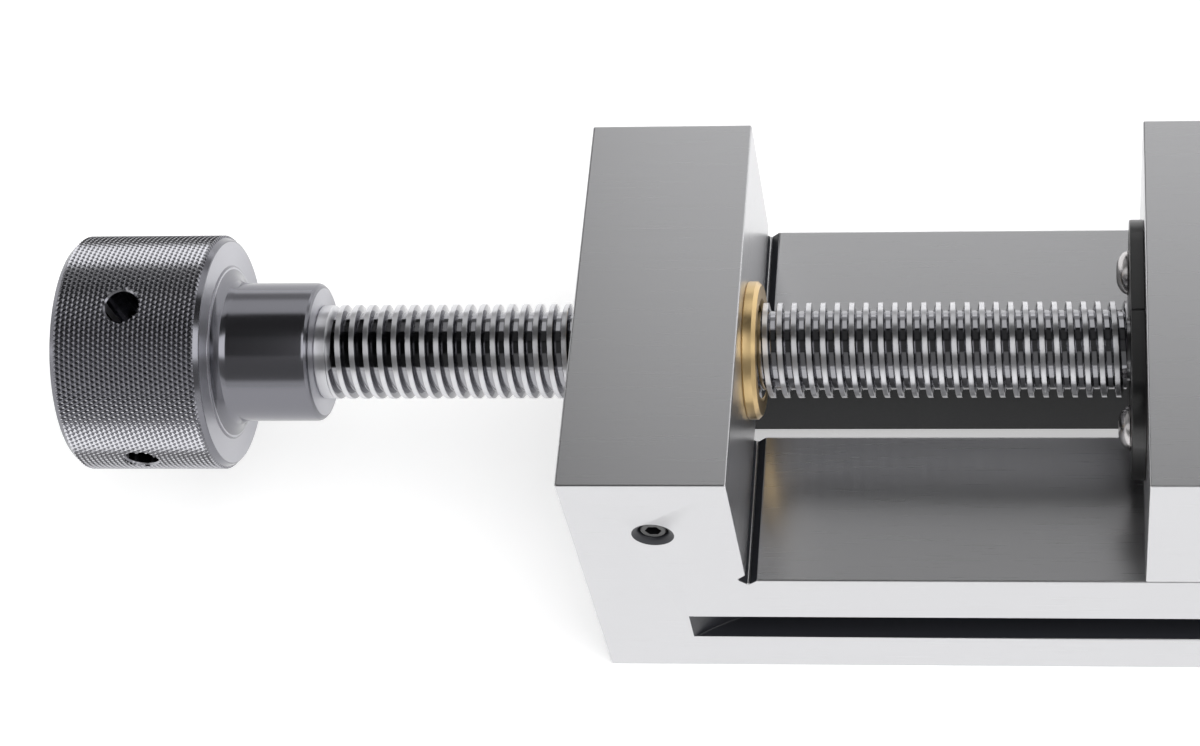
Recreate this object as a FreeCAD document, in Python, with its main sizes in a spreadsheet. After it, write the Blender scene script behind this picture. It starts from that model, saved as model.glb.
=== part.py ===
"""A toolmaker's screw vise of the 88 mm class, in millimetres.

The origin is the middle of the base. +X runs along the bed towards the fixed jaw, +Z is up, and the
knob is at the -X end. Turned and sliding pieces are drawn about their own axes and then placed.
"""

import FreeCAD, Part
import math
import os
import re
import Sketcher

# Driving sizes: name and value.
SIZES = {
    # Vise body
    "body_length": "235",
    "body_width": "88",
    "body_height": "80",
    "bed_height": "40",
    "rear_block_length": "34",
    "fixed_jaw_length": "35",
    "edge_break": "0.4",
    "relief_width": "3",
    "relief_depth": "1.1",
    "slot_width": "18.5",
    "slot_length": "184",
    "slot_overrun": "1",
    "slot_edge_break": "0.3",
    "channel_width": "36",
    "channel_height": "11.5",
    "channel_length": "191",
    "channel_corner": "8",
    "groove_low": "13.6",
    "groove_height": "9.6",
    "groove_depth": "8",
    "groove_length": "195",
    "groove_cutter": "50",
    # Screw and nut
    "screw_diameter": "20",
    "running_gap": "0.05",
    "nut_diameter": "26",
    "nut_length": "33.5",
    "flange_diameter": "29",
    "flange_thickness": "2.8",
    "flange_chamfer": "0.8",
    "seat_gap": "0.02",
    # Set screws
    "set_screw_diameter": "6",
    "set_screw_socket": "3",
    "set_screw_socket_depth": "3",
    "lock_screw_length": "30",
    "lock_sink_diameter": "8.7",
    "lock_sink_depth": "0.8",
    "grub_length": "6",
    "grub_station": "9.7",
    # Movable jaw and its guide
    "jaw_length": "35",
    "jaw_opening": "48.6",
    "slide_gap": "0.05",
    "tongue_inset": "1",
    "vee_width": "8",
    "vee_relief_width": "1",
    "vee_relief_depth": "0.8",
    "keeper_thickness": "11",
    "keeper_corner": "3",
    "keeper_side_gap": "0.2",
    # Keeper bolts and washers
    "bolt_diameter": "6",
    "bolt_length": "20",
    "bolt_head_diameter": "10",
    "bolt_head_height": "6",
    "bolt_socket": "5",
    "bolt_socket_depth": "3",
    "bolt_spacing": "18",
    "bolt_hole_depth": "22",
    "bolt_sink_diameter": "11.6",
    "bolt_head_recess": "0.2",
    "washer_diameter": "11",
    "washer_thickness": "1.6",
    "hole_gap": "0.2",
    # Retaining plate and its screws
    "plate_width": "54",
    "plate_height": "30",
    "plate_thickness": "3",
    "plate_corner": "10",
    "plate_edge_break": "0.3",
    "split_gap": "0.06",
    "neck_gap": "0.2",
    "plate_screw_spread": "38",
    "plate_screw_diameter": "5",
    "plate_screw_length": "12",
    "plate_screw_hole_depth": "14",
    "button_diameter": "9.5",
    "button_height": "2.75",
    "button_rim": "0.4",
    "button_top_diameter": "5",
    "button_socket": "3",
    "button_socket_depth": "1.6",
    # Lead screw and thrust button
    "thread_length": "166.8",
    "shank_diameter": "19.8",
    "shank_length": "2.7",
    "spigot_diameter": "16",
    "spigot_length": "25",
    "neck_diameter": "13",
    "shoulder_gap": "0.7",
    "collar_play": "0.1",
    "collar_diameter": "18",
    "collar_length": "8",
    "collar_room": "1",
    "button_pin_diameter": "8",
    "button_pin_seat": "4",
    "button_pin_standout": "5.5",
    "button_pin_chamfer": "1.2",
    "thrust_gap": "0.05",
    # Knob
    "knob_diameter": "49.8",
    "knob_length": "31.5",
    "knob_chamfer": "1.3",
    "hub_diameter": "29.4",
    "hub_length": "20",
    "hub_chamfer": "1",
    "root_flare": "2.5",
    "spigot_end_gap": "0.5",
    "tommy_hole_diameter": "7",
    "tommy_hole_station": "14.8",
    "knob_turn": "9",
}

# Places and sizes that follow from the driving sizes.
PLACES = {
    "block_face": "rear_block_length - body_length / 2",
    "fixed_face": "body_length / 2 - fixed_jaw_length",
    "axis_height": "(body_height + bed_height) / 2",
    "jaw_front": "fixed_face - jaw_opening",
    "jaw_rear": "jaw_front - jaw_length",
    "jaw_middle": "jaw_front - jaw_length / 2",
    "jaw_bottom": "bed_height + slide_gap",
    "keeper_top": "channel_height - slide_gap",
    "keeper_bottom": "keeper_top - keeper_thickness",
    "bolt_seat": "keeper_bottom + bolt_head_recess + bolt_head_height",
    "plate_rear": "jaw_rear - plate_thickness",
    "collar_face": "jaw_rear + collar_play",
    "neck_length": "collar_play + plate_thickness + shoulder_gap",
    "shank_start": "-neck_length - thread_length - shank_length",
    "hub_face": "collar_face + shank_start",
    "lock_station": "(rear_block_length - body_length) / 2",
    "tommy_middle": "tommy_hole_station - hub_length - knob_length",
    "pocket_depth": "collar_play + collar_length + button_pin_standout + thrust_gap",
    "run_out": "sqrt(groove_cutter ^ 2 - (groove_cutter - groove_depth) ^ 2)",
    "relief_mouth": "relief_width / sqrt(2)",
    "relief_near": "(relief_depth - relief_width / 2) / sqrt(2)",
    "relief_far": "(relief_depth + relief_width / 2) / sqrt(2)",
}

NAME = re.compile(r"[a-z][a-z_]*")
X_AXIS = FreeCAD.Vector(1, 0, 0)
Z_AXIS = FreeCAD.Vector(0, 0, 1)
SMALL = 1e-4


def formula(text):
    """The text with each place opened into its own sizes, and each size bound to its cell."""

    def word(match):
        name = match.group(0)
        if name in PLACES:
            return "(" + formula(PLACES[name]) + ")"
        return "Sizes." + name if name in SIZES else name

    return NAME.sub(word, text)


def number(owner, text):
    """What a formula comes to."""
    return float(owner.evalExpression(formula(text)))


def fill_sheet(document):
    """The sheet of driving sizes."""
    sheet = document.addObject("Spreadsheet::Sheet", "Sizes")
    for row, (name, value) in enumerate(SIZES.items(), start=1):
        sheet.set(f"A{row}", name)
        sheet.set(f"B{row}", value)
        sheet.setAlias(f"B{row}", name)
    document.recompute()


def new_body(document, label, base=("0", "0", "0"), turn="0"):
    """An empty piece, placed at base and turned about X by an angle in degrees."""
    body = document.addObject("PartDesign::Body", label)
    body.Label = label
    angle = number(body, turn)
    body.Placement = FreeCAD.Placement(FreeCAD.Vector(), FreeCAD.Rotation(X_AXIS, angle))
    for axis, text in zip("xyz", base):
        body.setExpression(f"Placement.Base.{axis}", formula(text))
    if angle:
        body.setExpression("Placement.Rotation.Angle", formula(turn))
    return body


def origin_plane(body, role):
    """One of the piece's own three base planes."""
    return next(f for f in body.Origin.OriginFeatures if f.Role == role)


def new_sketch(body, name, plane, height="0", shift="0"):
    """A sketch on a base plane, moved by height along its normal and by shift along its own x."""
    sketch = body.newObject("Sketcher::SketchObject", name)
    sketch.AttachmentSupport = (origin_plane(body, plane), [""])
    sketch.MapMode = "FlatFace"
    sketch.setExpression("AttachmentOffset.Base.z", formula(height))
    sketch.setExpression("AttachmentOffset.Base.x", formula(shift))
    return sketch


def limit(sketch, kind, places, value, text):
    """One sketch dimension, bound to a formula."""
    index = sketch.addConstraint(Sketcher.Constraint(kind, *places, value))
    sketch.setExpression(f"Constraints[{index}]", formula(text))


def arc_between(start, end, radius, side):
    """The short arc from start to end, with its centre to the left (side 1) or the right (-1)."""
    chord = end - start
    left = FreeCAD.Vector(-chord.y, chord.x, 0).normalize()
    middle = (start + end) / 2
    rise = math.sqrt(max(radius**2 - (chord.Length / 2) ** 2, 0))
    centre = middle + left * rise * side
    first, last = (start, end) if side > 0 else (end, start)
    angles = [math.atan2(p.y - centre.y, p.x - centre.x) for p in (first, last)]
    return Part.ArcOfCircle(Part.Circle(centre, Z_AXIS, radius), *angles)


def outline(sketch, corners, arcs=None):
    """A closed outline through corners given as pairs of formulas.

    arcs maps the number of a corner to the radius and side of the arc that leaves it.
    """
    arcs = arcs or {}
    count = len(corners)
    first = sketch.GeometryCount
    points = [FreeCAD.Vector(*(number(sketch, text) for text in corner), 0) for corner in corners]
    heads = []
    tails = []
    for i, start in enumerate(points):
        end = points[(i + 1) % count]
        if i in arcs:
            radius, side = arcs[i]
            sketch.addGeometry(arc_between(start, end, number(sketch, radius), side), False)
            heads.append(1 if side > 0 else 2)
        else:
            sketch.addGeometry(Part.LineSegment(start, end), False)
            heads.append(1)
        tails.append(3 - heads[-1])
    for i in range(count):
        after = (i + 1) % count
        joint = (first + i, tails[i], first + after, heads[after])
        sketch.addConstraint(Sketcher.Constraint("Coincident", *joint))
    for i, (point, corner) in enumerate(zip(points, corners)):
        limit(sketch, "DistanceX", (-1, 1, first + i, heads[i]), point.x, corner[0])
        limit(sketch, "DistanceY", (-1, 1, first + i, heads[i]), point.y, corner[1])
    for i, (radius, _) in arcs.items():
        limit(sketch, "Radius", (first + i,), number(sketch, radius), radius)


def circle(sketch, x, y, diameter):
    """A circle with a bound centre and diameter."""
    centre = FreeCAD.Vector(number(sketch, x), number(sketch, y), 0)
    size = number(sketch, diameter)
    index = sketch.addGeometry(Part.Circle(centre, Z_AXIS, size / 2), False)
    limit(sketch, "DistanceX", (-1, 1, index, 3), centre.x, x)
    limit(sketch, "DistanceY", (-1, 1, index, 3), centre.y, y)
    limit(sketch, "Diameter", (index,), size, diameter)


def rectangle(sketch, low, high, radius=None):
    """A rectangle between two corners, with square or round corners."""
    (x0, y0), (x1, y1) = low, high
    if radius is None:
        outline(sketch, [(x0, y0), (x1, y0), (x1, y1), (x0, y1)])
        return
    left, right = f"{x0} + {radius}", f"{x1} - {radius}"
    bottom, top = f"{y0} + {radius}", f"{y1} - {radius}"
    lower = [(left, y0), (right, y0), (x1, bottom), (x1, top)]
    upper = [(right, y1), (left, y1), (x0, top), (x0, bottom)]
    outline(sketch, lower + upper, {i: (radius, 1) for i in (1, 3, 5, 7)})


def hexagon(sketch, across):
    """A hexagon about the sketch's origin, with flats at its top and bottom."""
    wide = f"{across} / sqrt(3)"
    half = f"{across} / sqrt(3) / 2"
    flat = f"{across} / 2"
    upper = [(wide, "0"), (half, flat), (f"-{half}", flat)]
    lower = [(f"-{wide}", "0"), (f"-{half}", f"-{flat}"), (half, f"-{flat}")]
    outline(sketch, upper + lower)


def pad(body, sketch, name, length, symmetric=False):
    """Material added along the sketch's normal."""
    feature = body.newObject("PartDesign::Pad", name)
    feature.Profile = sketch
    feature.SideType = "Symmetric" if symmetric else "One side"
    feature.setExpression("Length", formula(length))
    return feature


def expect_cut(body, feature, before):
    """A cut has to take material away."""
    if not body.Shape.Volume < before - SMALL:
        raise RuntimeError(f"{feature.Label} of {body.Label} cuts nothing")


def pocket(body, sketch, name, length, ahead=False, symmetric=False):
    """Material taken away against the sketch's normal, or along it if ahead."""
    body.Document.recompute()
    before = body.Shape.Volume
    feature = body.newObject("PartDesign::Pocket", name)
    feature.Profile = sketch
    feature.SideType = "Symmetric" if symmetric else "One side"
    feature.Reversed = ahead
    feature.setExpression("Length", formula(length))
    body.Document.recompute()
    expect_cut(body, feature, before)
    return feature


def turned(body, sketch, name, axis="H_Axis"):
    """Material turned about one of the sketch's axes."""
    feature = body.newObject("PartDesign::Revolution", name)
    feature.Profile = sketch
    feature.ReferenceAxis = (sketch, [axis])
    feature.Angle = 360
    return feature


def bored(body, sketch, name, axis="H_Axis"):
    """Material turned away about one of the sketch's axes."""
    body.Document.recompute()
    before = body.Shape.Volume
    feature = body.newObject("PartDesign::Groove", name)
    feature.Profile = sketch
    feature.ReferenceAxis = (sketch, [axis])
    feature.Angle = 360
    body.Document.recompute()
    expect_cut(body, feature, before)
    return feature


def bevel(body, base, name, size, chosen):
    """A chamfer on the edges of base for which chosen is true."""
    body.Document.recompute()
    edges = [f"Edge{i}" for i, edge in enumerate(base.Shape.Edges, start=1) if chosen(edge)]
    feature = body.newObject("PartDesign::Chamfer", name)
    feature.Base = (base, edges)
    feature.setExpression("Size", formula(size))
    body.Document.recompute()
    return feature


def lies_at(edge, axis, place):
    """True where a straight edge keeps one coordinate at a place."""
    box = edge.BoundBox
    low = getattr(box, axis.upper() + "Min")
    high = getattr(box, axis.upper() + "Max")
    return abs(low - place) < SMALL and abs(high - place) < SMALL


def relief_corners(face, sign):
    """The 45 degree grinding relief between an upright face and the bed, from the face down."""
    return [
        (face, "bed_height + relief_mouth"),
        (f"{face} {sign} relief_far", "bed_height - relief_near"),
        (f"{face} {sign} relief_near", "bed_height - relief_far"),
        (f"{face} - {sign}1 * relief_mouth", "bed_height"),
    ]


def vise_body(document):
    """One ground piece: rear block, slotted bed and fixed jaw."""
    body = new_body(document, "vise_body")
    left, right = "-body_length / 2", "body_length / 2"

    side_view = new_sketch(body, "body_side_view", "XZ_Plane")
    corners = [(left, "0"), (right, "0"), (right, "body_height"), ("fixed_face", "body_height")]
    corners += relief_corners("fixed_face", "+")
    corners += reversed(relief_corners("block_face", "-"))
    corners += [("block_face", "body_height"), (left, "body_height")]
    outline(side_view, corners)
    block = pad(body, side_view, "body_block", "body_width", symmetric=True)

    side = number(body, "body_width") / 2
    crests = [(number(body, x), number(body, z)) for x, z in corners[:4] + corners[-2:]]

    def outer(edge):
        on_side = lies_at(edge, "y", side) or lies_at(edge, "y", -side)
        return on_side or any(lies_at(edge, "x", x) and lies_at(edge, "z", z) for x, z in crests)

    bevel(body, block, "body_edge_breaks", "edge_break", outer)

    slot = new_sketch(body, "slot_plan", "XY_Plane")
    rectangle(
        slot,
        ("-slot_length / 2", "-slot_width / 2"),
        ("slot_length / 2", "slot_width / 2"),
    )
    slot_cut = pocket(body, slot, "bed_slot", "bed_height + slot_overrun", ahead=True)

    bed, lip = number(body, "bed_height"), number(body, "slot_width") / 2

    def slot_lip(edge):
        return lies_at(edge, "z", bed) and (lies_at(edge, "y", lip) or lies_at(edge, "y", -lip))

    bevel(body, slot_cut, "slot_edge_breaks", "slot_edge_break", slot_lip)

    channel = new_sketch(body, "channel_plan", "XY_Plane")
    low = ("-channel_length / 2", "-channel_width / 2")
    high = ("channel_length / 2", "channel_width / 2")
    rectangle(channel, low, high, "channel_corner")
    pocket(body, channel, "keeper_channel", "channel_height", ahead=True)

    groove = new_sketch(body, "groove_plan", "XY_Plane", "groove_low")
    face, floor = "-body_width / 2", "groove_depth - body_width / 2"
    rim = [
        ("groove_length / 2", face),
        ("groove_length / 2 - run_out", floor),
        ("run_out - groove_length / 2", floor),
        ("-groove_length / 2", face),
    ]
    outline(groove, rim, {0: ("groove_cutter", 1), 2: ("groove_cutter", 1)})
    front_groove = pocket(body, groove, "front_clamp_groove", "groove_height", ahead=True)
    both = body.newObject("PartDesign::Mirrored", "rear_clamp_groove")
    both.Originals = [front_groove]
    both.MirrorPlane = (origin_plane(body, "XZ_Plane"), [""])
    body.Tip = both

    bore = new_sketch(body, "nut_bore_end", "YZ_Plane", "block_face")
    circle(bore, "0", "axis_height", "nut_diameter + 2 * seat_gap")
    pocket(body, bore, "nut_bore", "rear_block_length")

    hole = new_sketch(body, "lock_hole_section", "XY_Plane", "axis_height", "lock_station")
    radius = "(set_screw_diameter / 2 + seat_gap)"
    sunk = [
        ("0", face),
        ("lock_sink_diameter / 2", face),
        (radius, f"{face} + lock_sink_depth"),
        (radius, "0"),
        ("0", "0"),
    ]
    outline(hole, sunk)
    bored(body, hole, "lock_screw_hole", "V_Axis")
    return body


def screw_nut(document):
    """Flanged bronze nut, seated in the rear block from the jaw side."""
    body = new_body(document, "screw_nut", ("block_face", "0", "axis_height"))
    section = new_sketch(body, "nut_section", "XZ_Plane")
    bore = "screw_diameter / 2 + running_gap"
    barrel, flange = "nut_diameter / 2", "flange_diameter / 2"
    corners = [
        ("-nut_length", bore),
        ("-nut_length", barrel),
        ("0", barrel),
        ("0", flange),
        ("flange_thickness - flange_chamfer", flange),
        ("flange_thickness", f"{flange} - flange_chamfer"),
        ("flange_thickness", bore),
    ]
    outline(section, corners)
    turned(body, section, "nut_turning")
    return body


def set_screw(document, label, place, station, tip, length):
    """Headless socket screw along Y, from its tip out to its socket. place is base, turn and sign."""
    base, turn, sign = place
    body = new_body(document, label, base, turn)
    section = new_sketch(body, label + "_section", "XY_Plane", "0", station)
    radius = "set_screw_diameter / 2"
    end = f"{tip} + {length}"
    corners = [
        ("0", f"{sign}({tip})"),
        (radius, f"{sign}({tip})"),
        (radius, f"{sign}({end})"),
        ("0", f"{sign}({end})"),
    ]
    outline(section, corners)
    turned(body, section, label + "_turning", "V_Axis")
    outward = "-" if sign == "+" else ""
    socket = new_sketch(body, label + "_socket", "XZ_Plane", f"{outward}({end})", station)
    hexagon(socket, "set_screw_socket")
    pocket(body, socket, label + "_hex", "set_screw_socket_depth", ahead=sign == "+")
    return body


def movable_jaw(document):
    """Ground jaw with a tongue in the bed slot, a pocket for the screw's collar and crossed vees."""
    body = new_body(document, "movable_jaw")
    side_view = new_sketch(body, "jaw_side_view", "XZ_Plane")
    rectangle(side_view, ("jaw_rear", "jaw_bottom"), ("jaw_front", "body_height"))
    block = pad(body, side_view, "jaw_block", "body_width", symmetric=True)
    bevel(body, block, "jaw_edge_breaks", "edge_break", lambda edge: True)

    tongue = new_sketch(body, "tongue_plan", "XY_Plane", "keeper_top")
    half = "(slot_width / 2 - slide_gap)"
    rectangle(tongue, ("jaw_rear + tongue_inset", f"-{half}"), ("jaw_front - tongue_inset", half))
    pad(body, tongue, "jaw_tongue", "jaw_bottom - keeper_top + edge_break")

    recess = new_sketch(body, "collar_pocket_end", "YZ_Plane", "jaw_rear")
    circle(recess, "0", "axis_height", "collar_diameter + collar_room")
    pocket(body, recess, "collar_pocket", "pocket_depth", ahead=True)

    taps = new_sketch(body, "plate_screw_places", "YZ_Plane", "jaw_rear")
    tapped = "plate_screw_diameter + 2 * seat_gap"
    for sign in ("-", ""):
        circle(taps, f"{sign}plate_screw_spread / 2", "axis_height", tapped)
    pocket(body, taps, "plate_screw_holes", "plate_screw_hole_depth", ahead=True)

    for name, plane, middle, height, length in (
        ("level_vee", "XZ_Plane", "axis_height", "0", "body_width"),
        ("upright_vee", "XY_Plane", "0", "jaw_bottom", "body_height - jaw_bottom"),
    ):
        vee = new_sketch(body, name + "_section", plane, height)
        neck = "vee_relief_width / 2"
        root = "jaw_front - vee_width / 2 + vee_relief_width / 2"
        corners = [
            ("jaw_front", f"{middle} - vee_width / 2"),
            ("jaw_front", f"{middle} + vee_width / 2"),
            (root, f"{middle} + {neck}"),
            (f"{root} - vee_relief_depth", f"{middle} + {neck}"),
            (f"{root} - vee_relief_depth", f"{middle} - {neck}"),
            (root, f"{middle} - {neck}"),
        ]
        outline(vee, corners)
        across = plane == "XZ_Plane"
        pocket(body, vee, name, length, ahead=not across, symmetric=across)

    bolts = new_sketch(body, "bolt_places", "XY_Plane", "keeper_top")
    for sign in ("-", "+"):
        circle(bolts, f"jaw_middle {sign} bolt_spacing / 2", "0", "bolt_diameter + 2 * seat_gap")
    pocket(body, bolts, "bolt_holes", "bolt_hole_depth", ahead=True)
    return body


def keeper_plate(document):
    """Plate in the channel under the bed, bolted to the jaw's tongue."""
    body = new_body(document, "keeper_plate", ("jaw_middle", "0", "keeper_bottom"))
    plan = new_sketch(body, "keeper_plan", "XY_Plane")
    half_length = "(jaw_length / 2 - tongue_inset)"
    half_width = "(channel_width / 2 - keeper_side_gap)"
    low = (f"-{half_length}", f"-{half_width}")
    rectangle(plan, low, (half_length, half_width), "keeper_corner")
    pad(body, plan, "keeper_block", "keeper_thickness")
    sunk_depth = "bolt_head_recess + bolt_head_height + washer_thickness"
    for name, diameter, depth in (
        ("bolt_clearance", "bolt_diameter + 2 * hole_gap", "keeper_thickness"),
        ("bolt_sink", "bolt_sink_diameter", sunk_depth),
    ):
        places = new_sketch(body, name + "_places", "XY_Plane")
        for sign in ("-", ""):
            circle(places, f"{sign}bolt_spacing / 2", "0", diameter)
        pocket(body, places, name, depth, ahead=True)
    return body


def keeper_bolt(document, label, sign):
    """Socket cap screw up through the keeper plate into the tongue."""
    base = (f"jaw_middle {sign} bolt_spacing / 2", "0", "bolt_seat")
    body = new_body(document, label, base)
    section = new_sketch(body, label + "_section", "XZ_Plane")
    head, shank = "bolt_head_diameter / 2", "bolt_diameter / 2"
    tip = "washer_thickness + bolt_length"
    corners = [
        ("0", "-bolt_head_height"),
        (head, "-bolt_head_height"),
        (head, "0"),
        (shank, "0"),
        (shank, tip),
        ("0", tip),
    ]
    outline(section, corners)
    turned(body, section, label + "_turning", "V_Axis")
    socket = new_sketch(body, label + "_socket", "XY_Plane", "-bolt_head_height")
    hexagon(socket, "bolt_socket")
    pocket(body, socket, label + "_hex", "bolt_socket_depth", ahead=True)
    return body


def keeper_washer(document, label, sign):
    """Flat washer between a keeper bolt's head and the plate."""
    base = (f"jaw_middle {sign} bolt_spacing / 2", "0", "bolt_seat")
    body = new_body(document, label, base)
    plan = new_sketch(body, label + "_plan", "XY_Plane")
    circle(plan, "0", "0", "washer_diameter")
    circle(plan, "0", "0", "bolt_diameter + 2 * hole_gap")
    pad(body, plan, label + "_disc", "washer_thickness")
    return body


def retainer_half(document, label, turn):
    """One of two like halves that close round the screw's neck. The other is turned half round."""
    body = new_body(document, label, ("plate_rear", "0", "axis_height"), turn)
    plan = new_sketch(body, label + "_plan", "YZ_Plane")
    seam, side, top = "split_gap / 2", "plate_width / 2", "plate_height / 2"
    notch = "(neck_diameter / 2 + neck_gap)"
    reach = f"sqrt({notch} ^ 2 - (split_gap / 2) ^ 2)"
    corners = [
        (seam, f"-{top}"),
        (f"{side} - plate_corner", f"-{top}"),
        (side, f"plate_corner - {top}"),
        (side, f"{top} - plate_corner"),
        (f"{side} - plate_corner", top),
        (seam, top),
        (seam, reach),
        (notch, "0"),
        (seam, f"-{reach}"),
    ]
    arcs = {1: ("plate_corner", 1), 3: ("plate_corner", 1), 6: (notch, -1), 7: (notch, -1)}
    outline(plan, corners, arcs)
    blank = pad(body, plan, label + "_blank", "plate_thickness")

    edge_limit = number(body, notch) + SMALL

    def rim(edge):
        box = edge.BoundBox
        return lies_at(edge, "x", 0) and (box.YMax > edge_limit)

    bevel(body, blank, label + "_edge_breaks", "plate_edge_break", rim)
    hole = new_sketch(body, label + "_hole_place", "YZ_Plane")
    circle(hole, "plate_screw_spread / 2", "0", "plate_screw_diameter + 2 * hole_gap")
    pocket(body, hole, label + "_hole", "plate_thickness", ahead=True)
    return body


def retainer_screw(document, label, sign):
    """Button-head socket screw that holds one half of the plate to the jaw."""
    body = new_body(document, label, ("plate_rear", f"{sign}plate_screw_spread / 2", "axis_height"))
    section = new_sketch(body, label + "_section", "XZ_Plane")
    head, shank = "button_diameter / 2", "plate_screw_diameter / 2"
    corners = [
        ("-button_height", "0"),
        ("plate_screw_length", "0"),
        ("plate_screw_length", shank),
        ("0", shank),
        ("0", head),
        ("-button_rim", head),
        ("-button_height", "button_top_diameter / 2"),
    ]
    outline(section, corners)
    turned(body, section, label + "_turning")
    socket = new_sketch(body, label + "_socket", "YZ_Plane", "-button_height")
    hexagon(socket, "button_socket")
    pocket(body, socket, label + "_hex", "button_socket_depth", ahead=True)
    return body


def lead_screw(document):
    """The screw: spigot for the knob, shank, thread, neck and collar with the button's seat."""
    body = new_body(document, "lead_screw", ("collar_face", "0", "axis_height"))
    section = new_sketch(body, "screw_section", "XZ_Plane")
    spigot, shank, crest = "spigot_diameter / 2", "shank_diameter / 2", "screw_diameter / 2"
    neck, collar = "neck_diameter / 2", "collar_diameter / 2"
    spigot_end = "shank_start - spigot_length"
    corners = [
        (spigot_end, "0"),
        ("collar_length", "0"),
        ("collar_length", collar),
        ("0", collar),
        ("0", neck),
        ("-neck_length", neck),
        ("-neck_length", crest),
        ("-neck_length - thread_length", crest),
        ("-neck_length - thread_length", shank),
        ("shank_start", shank),
        ("shank_start", spigot),
        (spigot_end, spigot),
    ]
    outline(section, corners)
    turned(body, section, "screw_turning")
    seat = new_sketch(body, "button_seat_place", "YZ_Plane", "collar_length")
    circle(seat, "0", "0", "button_pin_diameter + 2 * seat_gap")
    pocket(body, seat, "button_seat", "button_pin_seat")
    return body


def thrust_button(document):
    """Hard pin in the screw's nose, which bears on the bottom of the jaw's pocket."""
    base = ("collar_face + collar_length - button_pin_seat", "0", "axis_height")
    body = new_body(document, "thrust_button", base)
    section = new_sketch(body, "button_section", "XZ_Plane")
    length, radius = "(button_pin_seat + button_pin_standout)", "button_pin_diameter / 2"
    corners = [
        ("0", "0"),
        (length, "0"),
        (length, f"{radius} - button_pin_chamfer"),
        (f"{length} - button_pin_chamfer", radius),
        ("0", radius),
    ]
    outline(section, corners)
    turned(body, section, "button_turning")
    return body


def knob(document):
    """Knob with a hub, a blind bore for the spigot and two crossed tommy-bar holes."""
    body = new_body(document, "knob", ("hub_face", "0", "axis_height"), "knob_turn")
    section = new_sketch(body, "knob_section", "XZ_Plane")
    bore, hub, rim = "(spigot_diameter / 2 + seat_gap)", "hub_diameter / 2", "knob_diameter / 2"
    depth = "-spigot_length - spigot_end_gap"
    root, end = "-hub_length", "-hub_length - knob_length"
    corners = [
        (end, "0"),
        (depth, "0"),
        (depth, bore),
        ("0", bore),
        ("0", f"{hub} - hub_chamfer"),
        ("-hub_chamfer", hub),
        (f"{root} + root_flare", hub),
        (root, f"{hub} + root_flare"),
        (root, f"{rim} - knob_chamfer"),
        (f"{root} - knob_chamfer", rim),
        (f"{end} + knob_chamfer", rim),
        (end, f"{rim} - knob_chamfer"),
    ]
    outline(section, corners)
    turned(body, section, "knob_turning")
    for name, plane in (("upright", "XY_Plane"), ("level", "XZ_Plane")):
        place = new_sketch(body, name + "_tommy_place", plane)
        circle(place, "tommy_middle", "0", "tommy_hole_diameter")
        pocket(body, place, name + "_tommy_hole", "knob_diameter * 2", symmetric=True)
    place = new_sketch(body, "grub_hole_place", "XZ_Plane", "-hub_diameter")
    circle(place, "-grub_station", "0", "set_screw_diameter + 2 * seat_gap")
    pocket(body, place, "grub_hole", "hub_diameter", ahead=True)
    return body


def build(document):
    """Every piece of the vise."""
    pieces = [vise_body(document), screw_nut(document)]
    on_axis = (("0", "0", "axis_height"), "0", "-")
    tip = "nut_diameter / 2 + seat_gap"
    pieces.append(
        set_screw(document, "nut_lock_screw", on_axis, "lock_station", tip, "lock_screw_length")
    )
    pieces += [movable_jaw(document), keeper_plate(document)]
    for end, sign in (("rear", "-"), ("front", "+")):
        pieces.append(keeper_bolt(document, f"keeper_bolt_{end}", sign))
        pieces.append(keeper_washer(document, f"keeper_washer_{end}", sign))
    for side, turn, sign in (("near", "180", "-"), ("far", "0", "")):
        pieces.append(retainer_half(document, f"retainer_half_{side}", turn))
        pieces.append(retainer_screw(document, f"retainer_screw_{side}", sign))
    pieces += [lead_screw(document), thrust_button(document), knob(document)]
    in_hub = (("hub_face", "0", "axis_height"), "knob_turn", "+")
    tip = "spigot_diameter / 2 + seat_gap"
    pieces.append(
        set_screw(document, "knob_grub_screw", in_hub, "-grub_station", tip, "grub_length")
    )
    return pieces


def check(document, pieces):
    """Stops at a failed object or a piece that isn't one valid solid."""
    for item in document.Objects:
        if "Invalid" in item.State or "Error" in item.State:
            raise RuntimeError(f"{item.Label} failed: {item.State}")
    for piece in pieces:
        shape = piece.Shape
        if shape.isNull() or not shape.isValid() or len(shape.Solids) != 1:
            raise RuntimeError(f"{piece.Label} isn't one valid solid")


def main():
    """Builds, checks and writes the pieces."""
    document = FreeCAD.newDocument("toolmakers_vise")
    fill_sheet(document)
    pieces = build(document)
    document.recompute()
    check(document, pieces)
    os.makedirs("parts", exist_ok=True)
    for piece in pieces:
        piece.Shape.exportStep(f"parts/{piece.Label}.step")
        box = piece.Shape.BoundBox
        print(f"{piece.Label}: {piece.Shape.Volume:.1f} mm3, X {box.XMin:.2f} to {box.XMax:.2f}")


main()
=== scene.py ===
"""Toolmaker's screw vise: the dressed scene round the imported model, in metres.

The sizes below are in millimetres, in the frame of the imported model: the origin is the middle of the
base, +X runs along the bed towards the fixed jaw and +Z is up. Each sub-assembly is one class.
"""

import logging
import math
from dataclasses import dataclass
from enum import Enum
from typing import Callable, Iterable, Optional, Sequence

import bmesh
import bpy
from mathutils import Matrix, Vector


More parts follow.
